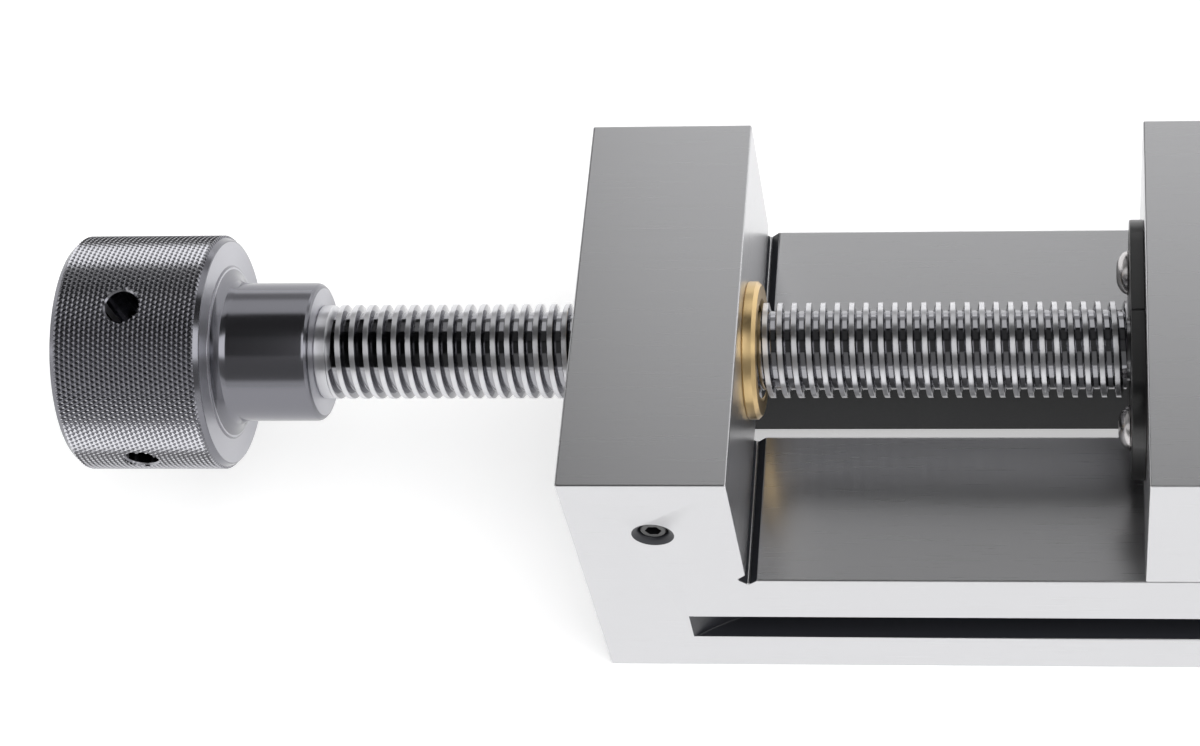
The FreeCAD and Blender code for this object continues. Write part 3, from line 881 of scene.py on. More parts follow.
@dataclass
class ViseFrame:
    """The one-piece ground body with its bronze nut and the nut's lock screw."""

    half_length: float = 117.5
    half_width: float = 44.0
    height: float = 80.0
    bed: float = 40.0
    block_face: float = -83.5
    fixed_face: float = 82.5
    edge: float = 0.4
    relief_width: float = 3.0
    relief_depth: float = 1.1
    slot_half: float = 9.25
    slot_end: float = 92.0
    channel_half: float = 18.0
    channel_end: float = 95.5
    channel_top: float = 11.5
    channel_corner: float = 8.0
    groove_low: float = 13.6
    groove_high: float = 23.2
    groove_depth: float = 8.0
    groove_end: float = 97.5
    groove_cutter: float = 50.0
    groove_steps: int = 16
    nut_radius: float = 13.0
    nut_bore: float = 10.05
    nut_length: float = 33.5
    nut_chamfer: float = 0.5
    flange_radius: float = 14.5
    flange_thickness: float = 2.8
    flange_slope: float = 0.8
    flange_edge: float = 0.3
    lock_station: float = -100.5
    lock_length: float = 30.0
    sink_radius: float = 4.35
    sink_depth: float = 0.8
    # How far a face's middle can lie from the surface, or the corner relief, that it belongs to.
    margin: float = 0.1
    relief_down: float = 2.5
    relief_up: float = 2.0
    relief_side: float = 2.6
    slant: float = 0.5

    def relief(self, face: float, side: float) -> list[Pair]:
        """The corner relief between an upright face and the bed, from the face down.

        Args:
            face: The face's place along X.
            side: 1 where the metal is on the +X side, or -1.

        Returns:
            Its four corners in X and Z.
        """
        root = math.sqrt(2)
        mouth = self.relief_width / root
        near = (self.relief_depth - self.relief_width / 2) / root
        far = (self.relief_depth + self.relief_width / 2) / root
        return [
            (face, self.bed + mouth),
            (face + side * far, self.bed - near),
            (face + side * near, self.bed - far),
            (face - side * mouth, self.bed),
        ]

    def groove(self, side: float) -> bpy.types.Object:
        """The cutter of one clamp groove, with its run-out at both ends.

        Args:
            side: -1 for the near side or 1 for the far side.

        Returns:
            The cutter.
        """
        floor = self.half_width - self.groove_depth
        rise = self.groove_cutter - self.groove_depth
        run_out = math.sqrt(self.groove_cutter**2 - rise**2)
        straight = self.groove_end - run_out
        sweep = math.degrees(math.asin(run_out / self.groove_cutter))
        centre = (straight, floor + self.groove_cutter)
        right = arc(centre, self.groove_cutter, -90, -90 + sweep, self.groove_steps)
        left = [(-x, y) for x, y in reversed(right)]
        mouth = self.half_width + PAST
        outer = [(self.groove_end, mouth), (-self.groove_end, mouth)]
        outline = [(x, side * y) for x, y in right + outer + left]
        return prism("groove", outline, self.groove_low, self.groove_high, Plane.XY)

    def holes(self) -> list[bpy.types.Object]:
        """The cutters of the nut's bore and of the lock screw's countersunk hole.

        Returns:
            The two cutters.
        """
        bore = rod(-self.half_length - PAST, self.block_face + PAST, self.nut_radius + FIT)
        hole = SetScrew.radius + FIT
        slope = (self.sink_radius - hole) / self.sink_depth
        inside, depth = self.nut_radius - PAST, self.half_width - self.sink_depth
        mouth, sink = self.half_width + PAST, self.sink_radius + slope * PAST
        lock = [(inside, 0), (inside, hole), (depth, hole), (mouth, sink), (mouth, 0)]
        lock_at = (self.lock_station, 0, AXIS_HEIGHT)
        return [
            turned("nut_bore", bore, (0, 0, AXIS_HEIGHT)),
            turned("lock_hole", lock, lock_at, Axis.MINUS_Y, ROUND_MIDDLE),
        ]

    def body_block(self) -> bpy.types.Object:
        """The ground body with all its cuts.

        Returns:
            The finished body.
        """
        left, right = -self.half_length, self.half_length
        profile = [(left, 0), (right, 0), (right, self.height), (self.fixed_face, self.height)]
        profile += self.relief(self.fixed_face, 1)
        profile += reversed(self.relief(self.block_face, -1))
        profile += [(self.block_face, self.height), (left, self.height)]
        body = prism("body_block", profile, -self.half_width, self.half_width, Plane.XZ)
        channel = rounded_rectangle(self.channel_end, self.channel_half, self.channel_corner)
        slot_low = (-self.slot_end, -self.slot_half, -PAST)
        slot_high = (self.slot_end, self.slot_half, self.bed + PAST)
        cutters = [
            block("slot", slot_low, slot_high),
            prism("channel", channel, -PAST, self.channel_top, Plane.XY),
            self.groove(-1),
            self.groove(1),
        ]
        combine(body, cutters + self.holes())
        break_edges(body, self.edge)
        adopt(body, GROUND_STEEL, Body.FRAME, "vise_body")
        dress_faces(body, (GROUND_STEEL, MILLED_STEEL_AND_SHADE), self.finish_at)
        return body

    def finish_at(self, place: Vector, facing: Vector) -> Finish:
        """The finish of one of the body's faces.

        Args:
            place: The face's middle in millimetres.
            facing: Its normal.

        Returns:
            Steel cut by milling before hardening and never ground, in the slot, the channel, the clamp
            grooves, the reliefs and the holes, made near black partly as painted shade there, or else
            ground steel.
        """
        x, y, z = place
        along, across, margin = abs(x), abs(y), self.margin
        slot = across < self.slot_half + margin and along < self.slot_end + margin
        below_bed = z < self.bed - self.edge - margin
        channel = across < self.channel_half + margin and along < self.channel_end + margin
        below_roof = self.edge - margin < z < self.channel_top + margin
        groove = self.groove_low - margin < z < self.groove_high + margin
        groove_floor = self.half_width - self.groove_depth - margin
        below_side = groove_floor < across < self.half_width - 2 * margin
        slanting = min(abs(facing.x), abs(facing.z)) > self.slant
        near_bed = self.bed - self.relief_down < z < self.bed + self.relief_up
        near_face = min(abs(x - self.block_face), abs(x - self.fixed_face)) < self.relief_side
        from_lock = math.hypot(x - self.lock_station, z - AXIS_HEIGHT)
        in_bore = math.hypot(y, z - AXIS_HEIGHT) < self.nut_radius + margin
        # Faces inside these hollows get the near-black steel, partly as painted shade.
        milled_and_shaded = (
            slot and below_bed,
            channel and below_roof,
            groove and below_side,
            slanting and near_bed and near_face,
            from_lock < self.sink_radius + margin and y < -self.nut_radius,
            in_bore and abs(facing.x) < self.slant,
        )
        return MILLED_STEEL_AND_SHADE if any(milled_and_shaded) else GROUND_STEEL

    def nut(self) -> bpy.types.Object:
        """The flanged bronze nut, seated from the jaw side.

        Returns:
            The finished nut.
        """
        bore, radius, flange = self.nut_bore, self.nut_radius, self.flange_radius
        end, face, slope = -self.nut_length, self.flange_thickness, self.flange_slope
        profile = [
            (end, bore + slope),
            (end, radius - self.nut_chamfer),
            (end + self.nut_chamfer, radius),
            (0, radius),
            (0, flange - self.flange_edge),
            (self.flange_edge, flange),
            (face - slope, flange),
            (face, flange - slope),
            (face, bore + slope),
            (face - slope, bore),
            (end + slope, bore),
        ]
        nut = turned("nut_bush", profile, (self.block_face, 0, AXIS_HEIGHT), hollow=True)
        smooth(nut)
        return adopt(nut, TURNED_BRONZE, Body.FRAME, "screw_nut")

    def build(self) -> list[bpy.types.Object]:
        """Makes every piece of the frame.

        Returns:
            The pieces.
        """
        lock = SetScrew(
            "nut_lock_screw",
            self.lock_station,
            Axis.MINUS_Y,
            self.nut_radius + FIT,
            self.lock_length,
            Body.FRAME,
        )
        return [self.body_block(), self.nut(), lock.build()]


@dataclass
class JawCarriage:
    """The sliding jaw with its tongue, its keeper below and the plate that holds the screw."""

    rear: float = -1.1
    front: float = 33.9
    half_width: float = 44.0
    bottom: float = 40.05
    top: float = 80.0
    edge: float = 0.4
    tongue_inset: float = 1.0
    tongue_half: float = 9.2
    keeper_low: float = 0.45
    keeper_top: float = 11.45
    keeper_half: float = 17.8
    keeper_corner: float = 3.0
    keeper_edge: float = 0.25
    pocket_radius: float = 9.5
    pocket_depth: float = 13.65
    vee_half: float = 4.0
    vee_relief_half: float = 0.5
    vee_relief_depth: float = 0.8
    vee_overcut: float = 0.02
    bolt_stations: Pair = (7.4, 25.4)
    bolt_seat: float = 6.65
    bolt_depth: float = 22.0
    sink_radius: float = 5.8
    plate_rear: float = -4.1
    plate_half_width: float = 27.0
    plate_half_height: float = 15.0
    plate_corner: float = 10.0
    plate_corner_steps: int = 12
    plate_edge: float = 0.3
    plate_hole: float = 2.7
    plate_screw_depth: float = 14.0
    seam: float = 0.03
    notch: float = 6.7
    notch_steps: int = 24
    screw_spread: float = 19.0

    def vee(self, middle: float) -> list[Pair]:
        """A 90 degree vee with a square relief, cut into the front face about a middle line.

        Args:
            middle: Where its middle line is, across the face.

        Returns:
            Its corners, as pairs of place along X and across the face.
        """
        root = self.front - self.vee_half + self.vee_relief_half
        floor = root - self.vee_relief_depth
        mouth, half, relief = self.front + PAST, self.vee_half + PAST, self.vee_relief_half
        upper = [(mouth, half), (root, relief), (floor, relief)]
        lower = [(along, -across) for along, across in reversed(upper)]
        return [(along, middle + across) for along, across in upper + lower]

    def jaw(self) -> bpy.types.Object:
        """The jaw with its tongue, pocket, vees and screw holes.

        Returns:
            The finished jaw.
        """
        low = (self.rear, -self.half_width, self.bottom)
        jaw = block("sliding_jaw", low, (self.front, self.half_width, self.top))
        inset = self.tongue_inset
        low = (self.rear + inset, -self.tongue_half, self.keeper_top)
        high = (self.front - inset, self.tongue_half, self.bottom + PAST)
        combine(jaw, [block("tongue", low, high)], "UNION")
        reach = self.half_width + PAST
        cutters = [
            prism("level_vee", self.vee(AXIS_HEIGHT), -reach, reach, Plane.XZ),
            prism("upright_vee", self.vee(0), self.bottom - self.vee_overcut, self.top + PAST, Plane.XY),
        ]
        pocket = rod(-PAST, self.pocket_depth, self.pocket_radius)
        cutters.append(turned("pocket", pocket, (self.rear, 0, AXIS_HEIGHT)))
        tapped = rod(-PAST, self.plate_screw_depth, ButtonScrew.shank_radius + FIT)
        for side in (-1, 1):
            at = (self.rear, side * self.screw_spread, AXIS_HEIGHT)
            cutters.append(turned("tapped_hole", tapped, at, count=ROUND_SMALL))
        tapped = rod(-PAST, self.bolt_depth, KeeperBolt.shank_radius + FIT)
        for station in self.bolt_stations:
            at = (station, 0, self.keeper_top)
            cutters.append(turned("bolt_hole", tapped, at, Axis.Z, ROUND_SMALL))
        combine(jaw, cutters)
        break_edges(jaw, self.edge)
        return adopt(jaw, GROUND_STEEL, Body.CARRIAGE, "movable_jaw")

    def keeper(self) -> bpy.types.Object:
        """The keeper plate under the bed, with its two stepped holes.

        Returns:
            The finished plate.
        """
        half_length = (self.front - self.rear) / 2 - self.tongue_inset
        middle = (self.front + self.rear) / 2
        plan = rounded_rectangle(half_length, self.keeper_half, self.keeper_corner)
        plan = [(middle + x, y) for x, y in plan]
        keeper = prism("keeper", plan, self.keeper_low, self.keeper_top, Plane.XY)
        sink = self.bolt_seat + KeeperBolt.washer_thickness - self.keeper_low
        past = self.keeper_top - self.keeper_low + PAST
        hole = KeeperBolt.washer_bore
        stepped = [(-PAST, 0), (-PAST, self.sink_radius), (sink, self.sink_radius)]
        stepped += [(sink, hole), (past, hole), (past, 0)]
        for station in self.bolt_stations:
            at = (station, 0, self.keeper_low)
            combine(keeper, [turned("stepped_hole", stepped, at, Axis.Z, ROUND_SMALL)])
        break_edges(keeper, self.keeper_edge)
        return adopt(keeper, GROUND_STEEL, Body.CARRIAGE, "keeper_plate")

    def keeper_fixings(self) -> list[bpy.types.Object]:
        """The keeper's cap screws and washers.

        Returns:
            A screw and a washer for each end.
        """
        made = []
        for end, station in zip(("rear", "front"), self.bolt_stations):
            bolt = KeeperBolt(end, station, self.bolt_seat)
            made += [bolt.screw(), bolt.washer()]
        return made

    def plate_half(self, side: float) -> list[Pair]:
        """The outline of one half of the retaining plate.

        Args:
            side: -1 for the near half or 1 for the far half.

        Returns:
            Its corners in Y and Z.
        """
        width, height, corner = self.plate_half_width, self.plate_half_height, self.plate_corner
        steps = self.plate_corner_steps
        outer = arc((width - corner, corner - height), corner, -90, 0, steps)
        outer += arc((width - corner, height - corner), corner, 0, 90, steps)
        reach = math.degrees(math.asin(self.seam / self.notch))
        inner = arc((0, 0), self.notch, 90 - reach, reach - 90, self.notch_steps)
        outline = [(self.seam, -height)] + outer + [(self.seam, height)] + inner
        return [(side * y, AXIS_HEIGHT + z) for y, z in outline]

    def retainer(self) -> list[bpy.types.Object]:
        """The split plate and its button-head screws.

        Returns:
            A half and a screw for each side.
        """
        made = []
        for end, side in (("near", -1), ("far", 1)):
            at = (self.plate_rear, side * self.screw_spread, AXIS_HEIGHT)
            half = prism(f"plate_{end}", self.plate_half(side), self.plate_rear, self.rear, Plane.YZ)
            hole = rod(-PAST, self.rear - self.plate_rear + PAST, self.plate_hole)
            combine(half, [turned("hole", hole, at, count=ROUND_SMALL)])
            break_edges(half, self.plate_edge)
            adopt(half, BLACK_PLATE, Body.CARRIAGE, f"retainer_half_{end}")
            made += [half, ButtonScrew(end, at).build()]
        return made

    def build(self) -> list[bpy.types.Object]:
        """Makes every piece of the carriage."""
        return [self.jaw(), self.keeper()] + self.keeper_fixings() + self.retainer()


@dataclass
class ScrewAndKnob:
    """The lead screw with its thrust button, and the knurled knob with its grub screw.

    A pair called a break is an edge that is taken off, along X and in radius. The steps of a
    rounded edge are pairs of the same two, back from the end and in from the radius. The flare
    is pairs of the distance from the knob's inner face and the radius.
    """

    thread_start: float = -171.6
    thread_end: float = -4.8
    crest: float = 10.0
    root: float = 8.3
    pitch: float = 3.0
    crest_land: float = 1.1
    flank: float = 0.36
    crest_break: Pair = (0.07, 0.08)
    root_break: Pair = (0.12, 0.1)
    thread_phase: float = 1.0
    crest_margin: float = 0.05
    plain_margin: float = 0.5
    spigot_end: float = -199.3
    spigot_radius: float = 8.0
    shank_radius: float = 9.9
    shank_edge: float = 0.3
    overlap: float = 0.6
    neck_radius: float = 6.5
    collar_start: float = -1.0
    collar_end: float = 7.0
    collar_radius: float = 9.0
    collar_edge: float = 0.2
    chamfer: float = 0.5
    button_start: float = 3.0
    button_end: float = 12.5
    button_radius: float = 4.0
    button_steps: Pairs = ((1.2, 0), (0.6, 0.3), (0.2, 0.8), (0, 1.4))
    hub_face: float = -174.3
    hub_radius: float = 14.7
    hub_steps: Pairs = ((1.3, 0), (0.75, 0.18), (0.3, 0.6), (0.05, 1.2), (0, 1.6))
    hub_bore_edge: float = 0.4
    bore_end: float = -199.8
    flare: Pairs = (
        (0, 18.5), (0.12, 18.4), (0.3, 18.1), (0.36, 17.7), (0.9, 16.3), (1.6, 15.3), (2.3, 14.85)
    )
    flare_length: float = 2.9
    knob_root: float = -194.3
    knob_end: float = -225.8
    knob_radius: float = 24.9
    knob_chamfer: float = 1.3
    knob_steps: Pairs = ((0.1, 1.1), (0, 1.35))
    knob_turn: float = 9.0
    knurl_count: int = 141
    knurl_rows: int = 28
    knurl_depth: float = 0.5
    knurl_flat: float = 0.3
    knurl_break: Pair = (0.25, 0.02)
    knurl_margin: float = 0.1
    top_margin: float = 0.06
    faced_slant: float = 0.95
    tommy_station: float = -211.0
    tommy_radius: float = 3.5
    tommy_sink: Pair = (0.6, 0.35)
    grub_station: float = -184.0
    grub_length: float = 6.0

    def thread_section(self) -> list[Pair]:
        """One pitch of the trapezoidal thread.

        Returns:
            Pairs of place along X and radius.
        """
        crest, root, land = self.crest, self.root, self.crest_land
        root_start, root_end = land + self.flank, self.pitch - self.flank
        crest_along, crest_in = self.crest_break
        root_along, root_out = self.root_break
        return [
            (0, crest - crest_in),
            (crest_along, crest),
            (land - crest_along, crest),
            (land, crest - crest_in),
            (root_start, root + root_out),
            (root_start + root_along, root),
            (root_end - root_along, root),
            (root_end, root + root_out),
        ]

    def thread(self) -> bmesh.types.BMesh:
        """The threaded length as one closed skin, cut square at both ends.

        Returns:
            A bmesh in millimetres about the X axis.
        """
        shape = bmesh.new()
        section = self.thread_section()
        spare = 2
        turns = math.ceil((self.thread_end - self.thread_start) / self.pitch) + spare + 1
        start = self.thread_start - spare * self.pitch + self.thread_phase
        columns = []
        for i, angle in enumerate(ring_angles(ROUND_LARGE)):
            shift = start + self.pitch * i / ROUND_LARGE
            column = []
            for turn in range(turns + 1):
                for along, radius in section:
                    x = shift + self.pitch * turn + along
                    place = (x, radius * math.cos(angle), radius * math.sin(angle))
                    column.append(shape.verts.new(place))
            columns.append(column)
        for here, there in zip(columns, columns[1:] + [columns[0][len(section) :]]):
            for k in range(len(there) - 1):
                shape.faces.new((here[k], here[k + 1], there[k + 1], there[k]))
        for place, side in ((self.thread_start, -1), (self.thread_end, 1)):
            bmesh.ops.bisect_plane(
                shape,
                geom=shape.verts[:] + shape.edges[:] + shape.faces[:],
                plane_co=(place, 0, 0),
                plane_no=(side, 0, 0),
                clear_outer=True,
            )
        loose = [v for v in shape.verts if not v.link_faces]
        bmesh.ops.delete(shape, geom=loose, context="VERTS")
        rim = [e for e in shape.edges if len(e.link_faces) == 1]
        bmesh.ops.contextual_create(shape, geom=rim)
        return shape

    def tail_profile(self) -> list[Pair]:
        """The knob's spigot and the plain shank behind the thread.

        Returns:
            Pairs of place along X and radius.
        """
        end, spigot, face, shank = self.spigot_end, self.spigot_radius, self.hub_face, self.shank_radius
        start, edge, inside = self.thread_start, self.shank_edge, self.thread_start + self.overlap
        return [
            (end, 0),
            (end, spigot - self.chamfer),
            (end + self.chamfer, spigot),
            (face, spigot),
            (face, shank - edge),
            (face + edge, shank),
            (start - edge, shank),
            (start, shank - edge),
            (inside, self.root - self.root_break[1]),
            (inside, 0),
        ]

    def nose_profile(self) -> list[Pair]:
        """The neck and the collar in front of the thread.

        Returns:
            Pairs of place along X and radius.
        """
        start, collar, end = self.collar_start, self.collar_radius, self.collar_end
        return rod(self.thread_end - self.overlap, start, self.neck_radius)[:-1] + [
            (start, collar - self.collar_edge),
            (start + self.collar_edge, collar),
            (end - self.chamfer, collar),
            (end, collar - self.chamfer),
            (end, 0),
        ]

    def screw(self) -> bpy.types.Object:
        """The lead screw: thread, shank, spigot, neck and collar.

        Returns:
            The finished screw.
        """
        at = (0, 0, AXIS_HEIGHT)
        shape = self.thread()
        shape.transform(Matrix.Translation(at))
        screw = from_bmesh("lead_screw_dressed", shape)
        tail = turned("tail", self.tail_profile(), at)
        nose = turned("nose", self.nose_profile(), at)
        seat = rod(self.button_start, self.collar_end + PAST, self.button_radius + FIT)
        combine(nose, [turned("seat", seat, at, count=ROUND_SMALL)])
        combine(screw, [tail, nose], "UNION")
        smooth(screw, angle=28)
        adopt(screw, THREAD_STEEL_SHADED, Body.SCREW, "lead_screw")
        dress_faces(screw, (THREAD_STEEL_SHADED, CREST_STEEL), self.screw_finish_at)
        return screw

    def screw_finish_at(self, place: Vector, facing: Vector) -> Finish:
        """The finish of one of the screw's faces.

        Args:
            place: The face's middle in millimetres.
            facing: Its normal, which makes no difference here.

        Returns:
            Turned steel on the thread's crests and the plain lengths, or else thread steel, whose
            darker grey is painted shade in the roots and flanks.
        """
        radius = math.hypot(place.y, place.z - AXIS_HEIGHT)
        plain = not self.thread_start + self.plain_margin < place.x < self.thread_end
        # The roots and flanks get the darker steel as painted shade.
        return CREST_STEEL if plain or radius > self.crest - self.crest_margin else THREAD_STEEL_SHADED

    def button(self) -> bpy.types.Object:
        """The hard pin in the screw's nose.

        Returns:
            The finished pin.
        """
        end, radius = self.button_end, self.button_radius
        profile = [(self.button_start, 0), (self.button_start, radius)]
        profile += [(end - back, radius - inwards) for back, inwards in self.button_steps]
        pin = turned("thrust_pin", profile + [(end, 0)], (0, 0, AXIS_HEIGHT), count=ROUND_SMALL)
        smooth(pin)
        return adopt(pin, BEARING_STEEL, Body.SCREW, "thrust_button")

    def knurl_angles(self) -> list[float]:
        """Angles of the knurl's valley and crest points round the rim.

        Returns:
            Three angles to a diamond, in radians.
        """
        step = math.pi / self.knurl_count
        flat = self.knurl_flat * step
        angles = []
        for k in range(self.knurl_count):
            centre = (2 * k + 1) * step
            angles += [2 * k * step, centre - flat, centre + flat]
        return angles

    def add_knurl(self, shape: bmesh.types.BMesh, low: float, high: float) -> tuple[list, list]:
        """Adds the band of flat-topped diamonds between two places along X.

        Args:
            shape: The bmesh to add to.
            low: The end nearer the knob's outer face.
            high: The end nearer the hub.

        Returns:
            The band's two end rings, each in the order of knurl_angles.
        """
        step = math.pi / self.knurl_count
        rise = (high - low) / self.knurl_rows
        valley = self.knob_radius - self.knurl_depth
        columns = 2 * self.knurl_count

        def point(i: float, j: float, radius: float) -> bmesh.types.BMVert:
            """Adds the point at column i and row j."""
            place = (low + j * rise, radius * math.cos(i * step), radius * math.sin(i * step))
            return shape.verts.new(place)

        cells = [(i, j) for i in range(columns) for j in range(self.knurl_rows + 1)]
        valleys = {(i, j): point(i, j, valley) for i, j in cells if (i + j) % 2 == 0}
        ends = {0: {}, self.knurl_rows: {}}
        flat = self.knurl_flat
        for i, j in cells:
            if (i, j) in valleys:
                continue
            corners, tops = [], []
            for di, dj in ((-1, 0), (0, -1), (1, 0), (0, 1)):
                if 0 <= j + dj <= self.knurl_rows:
                    corners.append(valleys[((i + di) % columns, j + dj)])
                    tops.append(point(i + di * flat, j + dj * flat, self.knob_radius))
            count = len(corners)
            shape.faces.new(tops)
            for k in range(count):
                after = (k + 1) % count
                level = count == 3 and {k, after} == ({0, 1} if j == 0 else {0, 2})
                if not level:
                    shape.faces.new([corners[k], corners[after], tops[after], tops[k]])
            if j in ends:
                ends[j][i] = (tops[0], tops[1] if j == 0 else tops[2])
        rings = []
        for j, flats in ends.items():
            ring = []
            for k in range(self.knurl_count):
                ring += [valleys[(2 * k, j)], *flats[2 * k + 1]]
            rings.append(ring)
        return rings[0], rings[1]

    def rim(self, end: float, side: float) -> list[Pair]:
        """The chamfer between the knurl and one of the knob's two faces.

        Args:
            end: The face's place along X.
            side: 1 where the knurl is on the +X side, or -1.

        Returns:
            Pairs of place along X and radius, from the knurl on.
        """
        along, inwards = self.knurl_break
        edge = self.knob_radius - self.knurl_depth - inwards
        steps = [(end + side * (self.knob_chamfer - along), edge)]
        return steps + [(end + side * back, self.knob_radius - fall) for back, fall in self.knob_steps]

    def hub_profile(self) -> list[Pair]:
        """The knob's inner face, flare, hub and blind bore.

        Returns:
            Pairs of place along X and radius, from the knurl on.
        """
        bore, face = self.spigot_radius + FIT, self.hub_face
        profile = self.rim(self.knob_root, -1)
        profile += [(self.knob_root + along, radius) for along, radius in self.flare]
        profile += [(self.knob_root + self.flare_length, self.hub_radius)]
        profile += [(face - back, self.hub_radius - fall) for back, fall in self.hub_steps]
        profile += [(face, self.spigot_radius + self.hub_bore_edge), (face - self.hub_bore_edge, bore)]
        return profile + [(self.bore_end, bore), (self.bore_end, 0)]

    def knob(self) -> bpy.types.Object:
        """The knob in one piece: knurled rim, hub, blind bore and crossed tommy-bar holes.

        Returns:
            The finished knob.
        """
        shape = bmesh.new()
        angles = self.knurl_angles()
        low, high = self.knob_end + self.knob_chamfer, self.knob_root - self.knob_chamfer
        outer, inner = self.add_knurl(shape, low, high)
        face = self.rim(self.knob_end, 1) + [(self.knob_end, 0)]
        for ring, profile in ((outer, face), (inner, self.hub_profile())):
            for along, radius in profile:
                after = add_ring(shape, along, radius, angles)
                join_rings(shape, ring, after)
                ring = after
        shape.transform(Matrix.Rotation(math.radians(self.knob_turn), 4, "X"))
        shape.transform(Matrix.Translation((0, 0, AXIS_HEIGHT)))
        knob = from_bmesh("knurled_knob", shape)
        combine(knob, self.knob_holes())
        smooth(knob, angle=20)
        adopt(knob, BLACK_KNURLED, Body.SCREW, "knob")
        finishes = (BLACK_KNURLED, BLACK_TURNED_SHADED, BLACK_FACED_LIT, BLACK_GROOVES)
        dress_faces(knob, finishes, self.knob_finish_at)
        return knob

    def knob_holes(self) -> list[bpy.types.Object]:
        """Cutters of the two tommy-bar holes and the grub screw's hole.

        Returns:
            The three cutters.
        """
        depth, widening = self.tommy_sink
        mouth, rim, wide = self.knob_radius + PAST, self.knob_radius - depth, self.tommy_radius + widening
        half = [(mouth, 0), (mouth, wide), (rim, wide), (rim - widening, self.tommy_radius)]
        profile = [(-along, radius) for along, radius in half] + half[::-1]
        at = (self.tommy_station, 0, AXIS_HEIGHT)
        cutters = [turned("tommy_hole", profile, at, axis, ROUND_SMALL) for axis in (Axis.Y, Axis.Z)]
        grub = rod(self.spigot_radius - PAST, self.hub_radius + PAST, SetScrew.radius + FIT)
        at = (self.grub_station, 0, AXIS_HEIGHT)
        cutters.append(turned("grub_hole", grub, at, Axis.Y, ROUND_SMALL))
        for cutter in cutters:
            spin(cutter, self.knob_turn)
        return cutters

    def knob_finish_at(self, place: Vector, facing: Vector) -> Finish:
        """The finish of one of the knob's faces.

        Args:
            place: The face's middle in millimetres.
            facing: Its normal.

        Returns:
            One finish for the knurl's crests, one for its grooves, a lighter one as painted light for the
            faces that look along the axis and a darker one as painted shade for the other turned faces.
        """
        radius = math.hypot(place.y, place.z - AXIS_HEIGHT)
        inset = self.knob_chamfer - self.knurl_margin
        on_band = self.knob_end + inset < place.x < self.knob_root - inset
        if on_band and radius > self.knob_radius - self.knurl_depth - self.knurl_margin:
            return BLACK_KNURLED if radius > self.knob_radius - self.top_margin else BLACK_GROOVES
        # Lighter steel as painted light on the faces along the axis, darker steel as painted shade on the
        # rest.
        return BLACK_FACED_LIT if abs(facing.x) > self.faced_slant else BLACK_TURNED_SHADED

    def build(self) -> list[bpy.types.Object]:
        """Makes every piece that turns with the screw.

        Returns:
            The pieces.
        """
        grub = SetScrew(
            "knob_grub_screw",
            self.grub_station,
            Axis.Y,
            self.spigot_radius + FIT,
            self.grub_length,
            Body.SCREW,
            turn=self.knob_turn,
        )
        return [self.screw(), self.button(), self.knob(), grub.build()]


# Studio


@dataclass(frozen=True)
class Patch:
    """A part of the room, by where it lies as seen from the vise.

    The angles are in degrees, from the level back over the top to the level front. The sides are
    along X, from -1 on the left to 1 on the right.
    """

    name: str
    angles: Pair
    sides: Pair
    level: float
    blur: float = 1.5
    side_blur: float = 0.03

    def edges(self) -> tuple[list[Pair], list[Pair]]:
        """The soft edges, each as where it starts and where it ends.

        Returns:
            The two edges by angle in radians, and the two by side.
        """
        (low, high), (left, right) = self.angles, self.sides
        blur, side_blur = self.blur, self.side_blur
        by_angle = [(low - blur, low + blur), (high + blur, high - blur)]
        by_side = [(left - side_blur, left + side_blur), (right + side_blur, right - side_blur)]
        return [(math.radians(start), math.radians(end)) for start, end in by_angle], by_side


